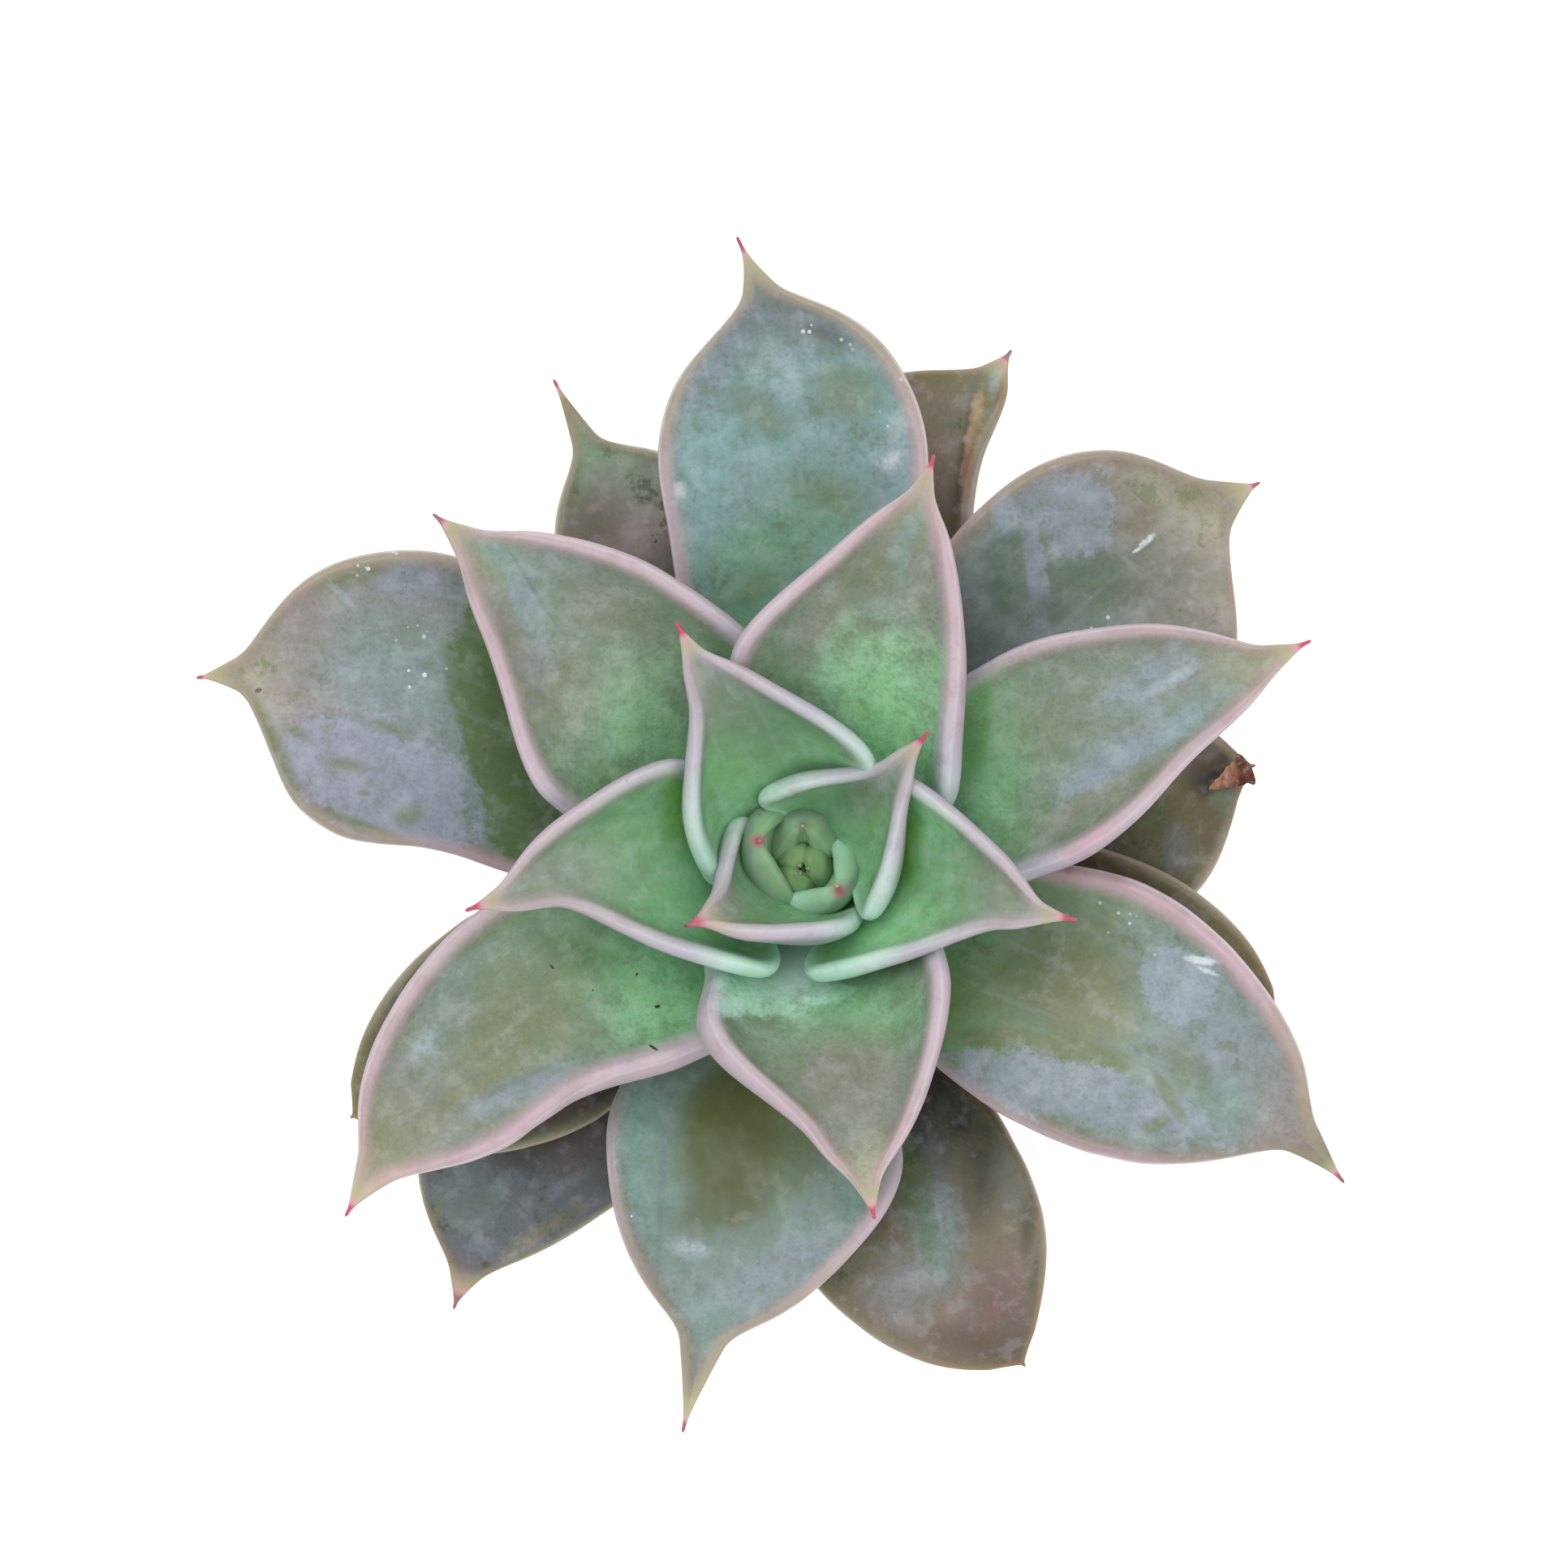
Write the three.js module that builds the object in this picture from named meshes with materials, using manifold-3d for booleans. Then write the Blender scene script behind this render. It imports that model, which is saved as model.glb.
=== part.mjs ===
// A potted echeveria: one open rosette of fleshy pointed leaves on a short stem, in a plain clay pot.
// Millimetres, +Z up. The origin is the middle of the pot's flat underside, on the surface it stands on.
import * as THREE from "three";
import { mergeVertices } from "three/addons/utils/BufferGeometryUtils.js";
import Module from "manifold-3d";

const wasm = await Module();
wasm.setup();

// Driving dimensions of the pot
const potHeight = 70;
const rimRadius = 41;
const rimHeight = 15;
const rimWall = 4.2;
const shoulderRadius = 37.6;
const footRadius = 27.5;
const bodyWall = 3.6;
const floorThickness = 5;
const drainHoles = 3;
const drainRadius = 3.2;
const drainCircle = 13;
const potSides = 48;

// Driving dimensions of the soil
const soilTop = 61;
const soilMound = 2.4;
const crumbHeight = 0.5;

// Driving dimensions of the stem. It leans from the pot's axis to the heart of the rosette,
// and its crown carries the leaves.
const heart = new THREE.Vector2(-4.6, -3.3);
const crownTop = 97;
const crownRadius = 6.4;
const apexRadius = 1.2;
const neckRadius = 5.8;
const stemFoot = 50;
const stemSides = 16;

// The air left between neighbouring pieces
const seatGap = 0.3;

// The leaves, youngest first: each stands about one golden angle on from the last.
// tip: the point's bearing from the heart in degrees, its distance, and its height over the crown.
// foot: bearing of the foot on the crown. rise: the midrib's slope at the foot and at the point.
// lift: how far the left and right margins stand up from the midrib.
// point: length of the fine point and half width where it starts.
// left, right: the blade's half width a third, half and most of the way along, looking from the heart.
// bow: the midrib's swing to the left. hook: how far the point turns to the left, in degrees.
const leaves = [
  { tip: [90, 5.5, 13], foot: 90, rise: [60, 100], lift: [4, 4], point: [1.2, 1],
    left: [2.8, 3, 1.8], right: [3, 3.4, 2] },
  { tip: [334, 4.8, 15], foot: 319, rise: [62, 100], lift: [4.5, 4.5], point: [1.4, 1],
    left: [4.6, 5, 3.4], right: [4.6, 5.2, 3.4] },
  { tip: [146, 6.6, 17], foot: 178, rise: [66, 98], lift: [4.5, 4.5], point: [1.6, 1],
    left: [5.4, 5.6, 3.4], right: [5.4, 6, 4] },
  { tip: [48, 23.2, 26], foot: 40, rise: [76, 35], lift: [9, 9], point: [5, 1.4],
    left: [8.6, 8.8, 2.4], right: [9, 10, 4] },
  { tip: [205, 16.2, 25], foot: 232, rise: [78, 40], lift: [7, 7], point: [4, 1.4],
    left: [10, 11, 6.5], right: [8, 8, 3.2] },
  { tip: [117, 34.6, 30], foot: 115, rise: [72, 30], lift: [9, 9], point: [6, 1.8],
    left: [12.5, 11.5, 3.6], right: [12, 13, 7] },
  { tip: [350, 34.4, 28], foot: 344, rise: [70, 28], lift: [9, 9], point: [6, 1.8],
    left: [12, 13, 7.6], right: [12.8, 11.5, 4.3] },
  { tip: [186.5, 42, 30], foot: 195, rise: [66, 28], lift: [9, 9], point: [6, 2],
    left: [13, 11.2, 3], right: [12, 13.2, 8], hook: 15 },
  { tip: [72.6, 54, 30], foot: 72, rise: [60, 25], lift: [8, 8], point: [6, 2],
    left: [13, 16, 8.4], right: [16.3, 13.3, 8.2] },
  { tip: [281.6, 44, 28], foot: 281, rise: [62, 25], lift: [8, 8], point: [6, 2.3],
    left: [14.5, 14.6, 9.2], right: [14.5, 16.3, 6.8] },
  { tip: [136, 64, 27], foot: 139, rise: [55, 22], lift: [7, 7], point: [7, 2.9],
    left: [15, 17, 8.8], right: [14.5, 14.5, 10], bow: -1.5 },
  { tip: [24.4, 69.6, 25], foot: 16, rise: [50, 20], lift: [6, 6], point: [7, 2.6],
    left: [13, 14.2, 10.4], right: [12, 12.3, 6.6] },
  { tip: [217, 72, 22], foot: 208, rise: [46, 14], lift: [6, 6], point: [8, 3.3],
    left: [16, 13.2, 10], right: [14, 15, 10.8], bow: -2, hook: 18 },
  { tip: [95.9, 80.5, 18], foot: 91, rise: [40, 16], lift: [4, 4], point: [8.5, 3.6],
    left: [13.5, 16.5, 15.8], right: [13.5, 16.2, 15], hook: 20 },
  { tip: [330, 79.5, 15], foot: 336, rise: [36, 8], lift: [4, 4], point: [9, 3.1],
    left: [13, 16.3, 11.4], right: [15.5, 18.2, 14], hook: -20 },
  { tip: [162.4, 81, 14], foot: 160, rise: [32, 8], lift: [3.5, 3.5], point: [6.5, 3],
    left: [14, 17, 17.6], right: [15, 19, 16.8], hook: 25 },
  { tip: [40.2, 77, 8], foot: 44, rise: [26, 6], lift: [3, 3], point: [7, 4.4],
    left: [13, 17, 16], right: [15, 21, 20.5], hook: -15 },
  { tip: [258, 74.3, 7], foot: 260, rise: [24, 4], lift: [3, 3], point: [13, 3.5],
    left: [15, 20.8, 14], right: [14, 18, 13] },
  { tip: [117, 71, 4], foot: 119, rise: [20, 6], lift: [3, 3], point: [10, 2.1],
    left: [12, 13.5, 8.2], right: [12, 16, 12.5] },
  { tip: [342, 65.5, 0], foot: 345, rise: [16, 5], lift: [2, 2], point: [2, 4],
    left: [12, 14.5, 11.5], right: [12, 16, 14] },
  { tip: [209, 67.5, -1], foot: 209, rise: [14, 5], lift: [2, 2], point: [2, 4],
    left: [12, 16, 12.5], right: [11.5, 15.5, 12.2] },
  { tip: [68, 73, -2], foot: 66, rise: [12, 4], lift: [2, 6], point: [5, 2.9],
    left: [11, 14, 16], right: [10, 8, 4], hook: -14 },
  { tip: [294, 72, -5], foot: 293, rise: [10, 3], lift: [2, 2], point: [2.5, 4],
    left: [11, 15, 13], right: [12, 18, 13.3], bow: -2.5, hook: 10 },
  { tip: [158, 54, -8], foot: 164, rise: [10, 4], lift: [2, 2], point: [3, 3],
    left: [12, 13, 10], right: [12, 15, 12] },
  { tip: [12.5, 61.7, -11], foot: 15, rise: [8, 3], lift: [2, 2], point: [3, 4],
    left: [12, 15, 12], right: [12, 16.5, 15.5] },
  { tip: [231.8, 75.2, -13], foot: 232, rise: [7, 2], lift: [2, 2], point: [6, 3],
    left: [11, 15, 11], right: [11, 15, 12.8], bow: -2.5, hook: 15 },
];

// The lobes of the closed bud at the heart, pressed together round a small core
const budLobes = [
  { tip: [232, 1.1, 10], foot: 232, rise: [70, 100], lift: [2.2, 2.2], point: [0.8, 0.8],
    left: [2.6, 3, 1.8], right: [2.6, 3, 1.8] },
  { tip: [8, 1, 9.4], foot: 8, rise: [70, 100], lift: [2, 2], point: [0.8, 0.8],
    left: [2.2, 2.6, 1.6], right: [2.2, 2.6, 1.6] },
  { tip: [128, 0.8, 8.8], foot: 128, rise: [74, 98], lift: [1.6, 1.6], point: [0.8, 0.8],
    left: [1.8, 2, 1.3], right: [1.8, 2, 1.3] },
];
const budCore = { radius: 1.9, height: 9.4 };

// The points round a blade's section: a share of the half width, and 1 on top, -1 below, 0 on the margin
const section = [
  [1, 0], [1, 1], [0.55, 1], [0, 1], [-0.55, 1], [-1, 1],
  [-1, 0], [-1, -1], [-0.55, -1], [0, -1], [0.55, -1], [1, -1],
];

// The leaves' colours from the heart outwards: fresh green, then grey green, then olive, then plum
const leafColours = [0x84a67c, 0x7da17c, 0x78987a, 0x7d8f84, 0x6f7763, 0x645b58];

const degrees = Math.PI / 180;
const mix = THREE.MathUtils.lerp;
const ease = THREE.MathUtils.smoothstep;
const clamp = THREE.MathUtils.clamp;

const polar = (bearing, distance, height) =>
  new THREE.Vector3(Math.cos(bearing * degrees) * distance, Math.sin(bearing * degrees) * distance, height);

const centreOf = (loop) =>
  loop.reduce((sum, p) => sum.add(p), new THREE.Vector3()).divideScalar(loop.length);

// Where a leaf stands on the crown
const footDrop = (order) => 0.5 * order + 0.012 * order * order;
const footRadiusAt = (order) => apexRadius + (crownRadius - apexRadius) * (1 - Math.exp(-order / 6));

// The midrib is one cubic curve from the foot to the point
function midribOf(leaf, order) {
  const foot = polar(leaf.foot, footRadiusAt(order) + seatGap, -footDrop(order));
  const tip = polar(...leaf.tip);
  const chord = tip.clone().sub(foot);
  const handle = chord.length() * 0.37;
  const reach = Math.hypot(chord.x, chord.y);
  const bearing = reach > 6 ? Math.atan2(chord.y, chord.x) / degrees : leaf.foot;
  const aim = (slope, turn) => polar(bearing + turn, Math.cos(slope * degrees), Math.sin(slope * degrees));
  const sideways = polar(bearing + 90, (leaf.bow || 0) * 1.333, 0);
  const second = foot.clone().addScaledVector(aim(leaf.rise[0], 0), handle);
  const third = tip.clone().addScaledVector(aim(leaf.rise[1], leaf.hook || 0), -handle);
  return new THREE.CubicBezierCurve3(foot, second.add(sideways), third.add(sideways), tip);
}

// A smooth curve through a few heights at given places, steeper at its last one
function through(places, heights, x) {
  const last = places.length - 1;
  let i = 0;
  while (i < last - 1 && x > places[i + 1]) i++;
  const slope = (k) => {
    const a = Math.max(k - 1, 0);
    const b = Math.min(k + 1, last);
    return ((k === last ? 1.6 : 1) * (heights[b] - heights[a])) / (places[b] - places[a]);
  };
  const span = places[i + 1] - places[i];
  const u = clamp((x - places[i]) / span, 0, 1);
  const u2 = u * u;
  const u3 = u2 * u;
  return heights[i] * (2 * u3 - 3 * u2 + 1) + heights[i + 1] * (3 * u2 - 2 * u3)
    + span * (slope(i) * (u3 - 2 * u2 + u) + slope(i + 1) * (u3 - u2));
}

// Half the blade's width on one side, at a share t of its length
function halfWidth(leaf, widths, t, length) {
  const pointStart = 1 - leaf.point[0] / length;
  if (t > pointStart) {
    const left = Math.max(1 - t, 0) / (1 - pointStart);
    return Math.max(leaf.point[1] * Math.pow(left, 1.5), 0.3);
  }
  const footHalf = Math.min(4.6, widths[0] * 0.55);
  const places = [0, 4 / 12, 7 / 12, 10 / 12, 1];
  return through(places, [footHalf, ...widths, leaf.point[1]], t / pointStart);
}

// Even steps over the blade, fewer on a short one, and a few more on the fine point
function stationsOf(leaf, length) {
  const pointStart = 1 - leaf.point[0] / length;
  const steps = clamp(Math.round(length / 5), 5, 12);
  const pointSteps = length > 30 ? 3 : 1;
  const made = [];
  for (let i = 0; i <= steps; i++) made.push((pointStart * i) / steps);
  for (let i = 1; i <= pointSteps; i++) made.push(mix(pointStart, 1, i / pointSteps));
  return made;
}

// One leaf as a closed mesh: a shallow trough with round margins and a fuller underside.
// grow swells it all round, for cutting room out of the leaf below.
function leafMesh(leaf, order, grow = 0) {
  const midrib = midribOf(leaf, order);
  const length = midrib.getLength();
  const age = Math.min(order / 12, 1);
  const loops = stationsOf(leaf, length).map((t) => {
    const place = midrib.getPointAt(t);
    const along = midrib.getTangentAt(t);
    const side = polar(leaf.foot + 90, 1, 0);
    side.addScaledVector(along, -side.dot(along)).normalize();
    const up = new THREE.Vector3().crossVectors(along, side);
    const taper = 1 - ease(t, 0.75, 1) * 0.7;
    return section.map(([across, face]) => {
      const isLeft = across > 0;
      const widths = isLeft ? leaf.left : leaf.right;
      const most = Math.max(...widths);
      const half = halfWidth(leaf, widths, t, length) + grow;
      const lift = leaf.lift[isLeft ? 0 : 1] * Math.pow(half / most, 1.3);
      const edge = Math.min(mix(0.9, 1.05, age) * taper, Math.max(half * 0.7, 0.3)) + grow;
      const belly = mix(0.5, 1.1, age) * Math.min(half / most, 1) * taper;
      const inset = face === 0 ? 0 : Math.min((0.65 * edge) / half, 0.5);
      const s = Math.min(Math.abs(across), 1 - inset);
      const start = half * mix(0.5, 0.92, Math.min(lift / half, 1));
      const out = 2 * s * (1 - s) * start + s * s * half;
      const lean = Math.atan2(s * lift, (1 - s) * start + s * (half - start));
      const thick = edge + (1 - s * s) * belly * (face > 0 ? 0.3 : 1.7);
      return place.clone()
        .addScaledVector(side, Math.sign(across) * (out - face * Math.sin(lean) * thick))
        .addScaledVector(up, s * s * lift + face * Math.cos(lean) * thick);
    });
  });
  const first = centreOf(loops[0]).addScaledVector(midrib.getTangentAt(0), -grow);
  const last = centreOf(loops.at(-1)).addScaledVector(midrib.getTangentAt(1), 0.35 + grow);
  return closedTube(loops, first, last);
}

// Rings of points, closed by a fan at each end. The two faces of a blade are split into triangles alike.
function closedTube(loops, first, last) {
  const around = loops[0].length;
  const points = [...loops.flat(), first, last];
  const start = points.length - 2;
  const end = points.length - 1;
  const faces = [];
  for (let i = 0; i + 1 < loops.length; i++) {
    for (let j = 0; j < around; j++) {
      const a = i * around + j;
      const b = i * around + ((j + 1) % around);
      const c = b + around;
      const d = a + around;
      if (j < around / 2) faces.push(a, b, c, a, c, d);
      else faces.push(a, b, d, b, c, d);
    }
  }
  const lastLoop = (loops.length - 1) * around;
  for (let j = 0; j < around; j++) {
    const k = (j + 1) % around;
    faces.push(start, k, j);
    faces.push(end, lastLoop + j, lastLoop + k);
  }
  const geometry = new THREE.BufferGeometry().setFromPoints(points);
  geometry.setIndex(faces);
  return geometry;
}

function solidOf(geometry) {
  const bare = geometry.clone();
  bare.deleteAttribute("normal");
  bare.deleteAttribute("uv");
  const merged = mergeVertices(bare, 1e-4);
  const vertProperties = new Float32Array(merged.attributes.position.array);
  const triVerts = new Uint32Array(merged.index.array);
  return new wasm.Manifold(new wasm.Mesh({ numProp: 3, vertProperties, triVerts }));
}

function geometryOf(solid) {
  const mesh = solid.getMesh();
  const geometry = new THREE.BufferGeometry();
  geometry.setAttribute("position", new THREE.BufferAttribute(mesh.vertProperties, 3));
  geometry.setIndex(new THREE.BufferAttribute(mesh.triVerts, 1));
  geometry.computeVertexNormals();
  return geometry;
}

// The one body that is left of a cut piece, without its loose scraps
const bodyOf = (solid) => solid.decompose().sort((a, b) => b.volume() - a.volume())[0];

const plant = new THREE.Group();

function add(name, geometry, color, roughness, parent = plant) {
  const mesh = new THREE.Mesh(geometry, new THREE.MeshStandardMaterial({ color, roughness, metalness: 0 }));
  mesh.name = name;
  parent.add(mesh);
}

// A profile of radius and height, turned round the upright axis
function turned(profile, sides) {
  const points = profile.map(([radius, height]) => new THREE.Vector2(radius, height));
  return new THREE.LatheGeometry(points, sides).rotateX(Math.PI / 2);
}

// The pot's inner wall: a flare from the floor to the ledge behind the rim, then a steeper stretch to the top
const innerWall = [
  [footRadius - bodyWall - 1.6, floorThickness],
  [footRadius - bodyWall + 0.4, floorThickness + 2],
  [shoulderRadius - bodyWall, potHeight - rimHeight - 1.5],
  [rimRadius - rimWall - 0.6, potHeight - rimHeight + 1.5],
  [rimRadius - rimWall, potHeight - 1],
];

// The pot: a flat foot, a flared body and a thick rim band with softened edges
function addPot() {
  const rimFoot = potHeight - rimHeight;
  const profile = [
    [0, 0], [footRadius - 1, 0], [footRadius, 1], [shoulderRadius, rimFoot],
    [rimRadius - 1.1, rimFoot], [rimRadius - 0.3, rimFoot + 0.9],
    [rimRadius, potHeight - 1], [rimRadius - 1, potHeight], [rimRadius - rimWall + 1, potHeight],
    ...innerWall.toReversed(), [0, floorThickness],
  ];
  let pot = solidOf(turned(profile, potSides));
  for (let i = 0; i < drainHoles; i++) {
    const hole = new THREE.CylinderGeometry(drainRadius, drainRadius, floorThickness * 3, 20);
    const place = polar(30 + (360 * i) / drainHoles, drainCircle, 0);
    hole.rotateX(Math.PI / 2).translate(place.x, place.y, 0);
    pot = pot.subtract(solidOf(hole));
  }
  add("pot", geometryOf(pot), 0xb5694a, 0.85);
}

// The potting soil fills the pot from its floor. It is a little heaped, crumbly on top,
// and has a plain hole for the stem.
function addSoil() {
  const holeRadius = neckRadius + seatGap;
  const bottom = floorThickness + seatGap;
  const moundTop = soilTop + soilMound;
  const [low, high] = innerWall.slice(-2);
  const edge = mix(low[0], high[0], (soilTop - low[1]) / (high[1] - low[1])) - seatGap;
  const profile = [[0, bottom], [innerWall[0][0] - seatGap, bottom]];
  innerWall.slice(1, 4).forEach(([radius, height]) => profile.push([radius - seatGap, height]));
  profile.push([edge, soilTop]);
  const rings = 5;
  for (let i = 1; i <= rings; i++) {
    const share = i / (rings + 1);
    profile.push([mix(edge, holeRadius, share), soilTop + soilMound * ease(share, 0, 1)]);
  }
  profile.push([holeRadius, moundTop], [holeRadius, stemFoot - seatGap], [0, stemFoot - seatGap]);
  const soil = turned(profile, potSides);
  const place = soil.attributes.position;
  for (let i = 0; i < place.count; i++) {
    const [x, y, z] = [place.getX(i), place.getY(i), place.getZ(i)];
    const radius = Math.hypot(x, y);
    if (z > soilTop + 0.01 && radius > holeRadius + 0.1) {
      const crumb = Math.sin(x * 0.9 + y * 0.5) + Math.sin(y * 1.1 - x * 0.6) * Math.cos(x * 0.4);
      place.setZ(i, z + crumbHeight * ease(radius, holeRadius, edge) * crumb);
    }
  }
  add("soil", soil, 0x2e241c, 0.95);
}

// The stem, measured from the crown's top: rings from its foot in the soil, over the lean and up to the apex
function stemMesh(grow = 0) {
  const rings = [];
  const ring = (x, y, z, radius) => {
    const loop = [];
    for (let i = 0; i < stemSides; i++) {
      loop.push(polar((360 * i) / stemSides, radius + grow, z).add(new THREE.Vector3(x, y, 0)));
    }
    rings.push(loop);
  };
  const lowest = leaves.length + 1;
  const neckTop = -footDrop(lowest);
  const neckFoot = soilTop + soilMound - crownTop;
  ring(-heart.x, -heart.y, stemFoot - crownTop, neckRadius - 0.6);
  ring(-heart.x, -heart.y, stemFoot - crownTop + 0.8, neckRadius);
  for (let i = 0; i <= 4; i++) {
    const away = 1 - ease(i / 4, 0, 1);
    ring(-heart.x * away, -heart.y * away, mix(neckFoot, neckTop, i / 4), neckRadius);
  }
  for (let order = lowest - 2; order > 0; order -= 3) {
    ring(0, 0, -footDrop(order), footRadiusAt(order));
  }
  ring(0, 0, 0, apexRadius);
  return closedTube(rings, centreOf(rings[0]), centreOf(rings.at(-1)));
}

// The bud is its lobes grown together round the core
function budOf(grow = 0) {
  const core = new THREE.SphereGeometry(1, 12, 8);
  core.scale(budCore.radius + grow, budCore.radius + grow, budCore.height / 2 + grow);
  core.translate(0, 0, budCore.height / 2 + seatGap);
  return budLobes.reduce((bud, lobe) => bud.add(solidOf(leafMesh(lobe, 0, grow))), solidOf(core));
}

// The rosette stands at the top of the stem. Each leaf gives way to the younger ones that it passes under.
function addRosette() {
  const rosette = new THREE.Group();
  rosette.position.set(heart.x, heart.y, crownTop);
  add("stem", stemMesh(), 0x6f6a4a, 0.85, rosette);
  const stem = solidOf(stemMesh(seatGap));
  add("heart_bud", geometryOf(bodyOf(budOf().subtract(stem))), 0x7fa873, 0.5, rosette);
  const above = [stem, budOf(seatGap)];
  leaves.forEach((leaf, order) => {
    const name = "leaf_" + String(order + 1).padStart(2, "0");
    const whole = solidOf(leafMesh(leaf, order));
    const cut = above.reduce((left, other) => left.subtract(other), whole);
    const colour = leafColours[Math.floor((order * leafColours.length) / leaves.length)];
    add(name, geometryOf(bodyOf(cut)), colour, 0.5, rosette);
    above.push(solidOf(leafMesh(leaf, order, seatGap)));
  });
  plant.add(rosette);
}

addPot();
addSoil();
addRosette();

export default plant;
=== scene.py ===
# A potted echeveria: one open rosette of fleshy pointed leaves with rosy margins, in a plain clay pot.
import math

import bpy
import numpy as np
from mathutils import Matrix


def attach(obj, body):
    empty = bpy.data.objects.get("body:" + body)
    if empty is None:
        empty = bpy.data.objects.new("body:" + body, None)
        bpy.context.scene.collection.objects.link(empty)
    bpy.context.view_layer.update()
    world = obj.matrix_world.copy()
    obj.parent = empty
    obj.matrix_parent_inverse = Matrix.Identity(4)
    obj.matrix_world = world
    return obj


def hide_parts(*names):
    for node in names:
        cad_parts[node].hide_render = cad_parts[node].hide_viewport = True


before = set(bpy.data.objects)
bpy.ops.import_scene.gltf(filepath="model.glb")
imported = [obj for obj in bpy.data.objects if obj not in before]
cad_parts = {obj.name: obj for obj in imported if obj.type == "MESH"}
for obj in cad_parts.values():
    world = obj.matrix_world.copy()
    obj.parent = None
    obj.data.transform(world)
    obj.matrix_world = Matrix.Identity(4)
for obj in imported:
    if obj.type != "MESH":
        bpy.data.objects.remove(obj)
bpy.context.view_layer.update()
bpy.ops.object.select_all(action="DESELECT")
mm = 0.001
print("frame loaded")

# The camera looks straight down, as the photograph does. spans = how many millimetres the picture's side takes in
# at the height atHeight, pixels = the picture's side
view = {"place": (-7.0, 7.6, 680.0), "spans": 197.06, "atHeight": 120.0, "pixels": 1932}
cameraData = bpy.data.cameras.new("camera")
cameraData.sensor_fit = "HORIZONTAL"
cameraData.angle = 2 * math.atan(view["spans"] / 2 / (view["place"][2] - view["atHeight"]))
cameraData.clip_start = 10 * mm
camera = bpy.data.objects.new("camera", cameraData)
camera.location = [c * mm for c in view["place"]]
bpy.context.scene.collection.objects.link(camera)
bpy.context.scene.camera = camera
bpy.context.scene.view_settings.view_transform = "Standard"


# Where a point of the picture, in pixels across and down, lies at a height, in millimetres
def under(across, down, height):
    pixel = view["spans"] / view["pixels"] * (view["place"][2] - height) / (view["place"][2] - view["atHeight"])
    middle = view["pixels"] / 2
    return view["place"][0] + (across - middle) * pixel, view["place"][1] - (down - middle) * pixel


# Plain soft studio light over a plain pale floor. The lamps look at a point above the middle of the pot's foot.
studio = {"sky": 0.62, "skyTone": (1.0, 0.995, 0.985, 1), "key": 9.0, "keySize": 1.1, "keyPlace": (-0.35, 0.45, 1.35),
          "fill": 3.2, "fillSize": 0.9, "fillPlace": (0.7, -0.5, 0.9), "aimHeight": 0.1,
          "floorSide": 6.0, "floorTone": (0.915, 0.915, 0.915, 1), "floorRough": 0.9, "floorGlow": 0.42}
world = bpy.data.worlds.new("studio")
bpy.context.scene.world = world
world.use_nodes = True
sky = world.node_tree.nodes["Background"].inputs
sky["Color"].default_value = studio["skyTone"]
sky["Strength"].default_value = studio["sky"]
for lampName in ("key", "fill"):
    lampData = bpy.data.lights.new(lampName, "AREA")
    lampData.energy = studio[lampName]
    lampData.size = studio[lampName + "Size"]
    lamp = bpy.data.objects.new(lampName, lampData)
    lamp.location = studio[lampName + "Place"]
    away = lamp.location.copy()
    away.z -= studio["aimHeight"]
    lamp.rotation_euler = away.to_track_quat("Z", "Y").to_euler()
    bpy.context.scene.collection.objects.link(lamp)

# Colours of the plant, the pot and the soil, 0 to 255 as a paint chart gives them
chart = {
    # greens
    "grass": (84, 142, 66), "leafGreen": (114, 166, 113), "fresh": (150, 196, 146), "mint": (182, 230, 208),
    "mintWhite": (206, 234, 226), "sage": (128, 152, 124), "moss": (88, 112, 62), "deepGreen": (74, 116, 56),
    "brightGreen": (127, 191, 134), "spring": (152, 214, 158), "lime": (118, 182, 70), "budGreen": (138, 178, 132),
    "budGlow": (132, 168, 118), "oliveGreen": (104, 118, 80), "pine": (90, 114, 94), "slateGreen": (102, 116, 100),
    # greens and blues with a bloom on them
    "teal": (124, 158, 150), "seaGreen": (112, 150, 142), "aqua": (130, 168, 168), "fog": (128, 144, 138),
    "slate": (112, 124, 126), "slateBlue": (98, 106, 116), "steel": (148, 164, 176), "haze": (142, 152, 166),
    # shine: the tone of painted highlights, glints and sheen
    "mist": (176, 190, 196), "lilacBlue": (152, 158, 180), "shell": (186, 184, 198), "shine": (226, 234, 240),
    "dust": (140, 142, 134),
    # olives and browns
    "olive": (112, 124, 84), "oliveBrown": (120, 112, 88), "oliveBronze": (86, 94, 46), "khaki": (124, 126, 86),
    "reed": (160, 156, 124), "straw": (186, 184, 140), "bronze": (116, 108, 70), "mauve": (152, 138, 136),
    "mauveBrown": (138, 130, 118), "taupe": (134, 118, 106), "plum": (104, 84, 82), "umber": (88, 72, 58),
    "bark": (62, 54, 36), "shade": (44, 38, 26), "cork": (128, 118, 88), "cinnamon": (164, 124, 92),
    "tan": (200, 172, 146), "dustTan": (174, 160, 142), "cream": (226, 214, 200),
    # pinks and reds
    "rose": (210, 188, 202), "lilac": (202, 194, 212), "blush": (206, 177, 187), "pink": (222, 158, 176),
    "crimson": (196, 52, 92), "rouge": (198, 88, 108), "brick": (164, 66, 86), "rosewood": (148, 102, 98),
    "husk": (190, 140, 112), "huskDark": (108, 54, 36),
    # pot and soil
    "clay": (182, 104, 72), "clayDark": (146, 78, 54), "claySalt": (216, 190, 170), "soil": (52, 40, 32),
    "soilDark": (30, 23, 19), "soilGrit": (150, 140, 126),
}


def linear(name):  # a tone of the chart as linear light
    return tuple((c / 255 / 12.92) if c / 255 < 0.04 else ((c / 255 + 0.055) / 1.055) ** 2.4 for c in chart[name])


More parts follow.
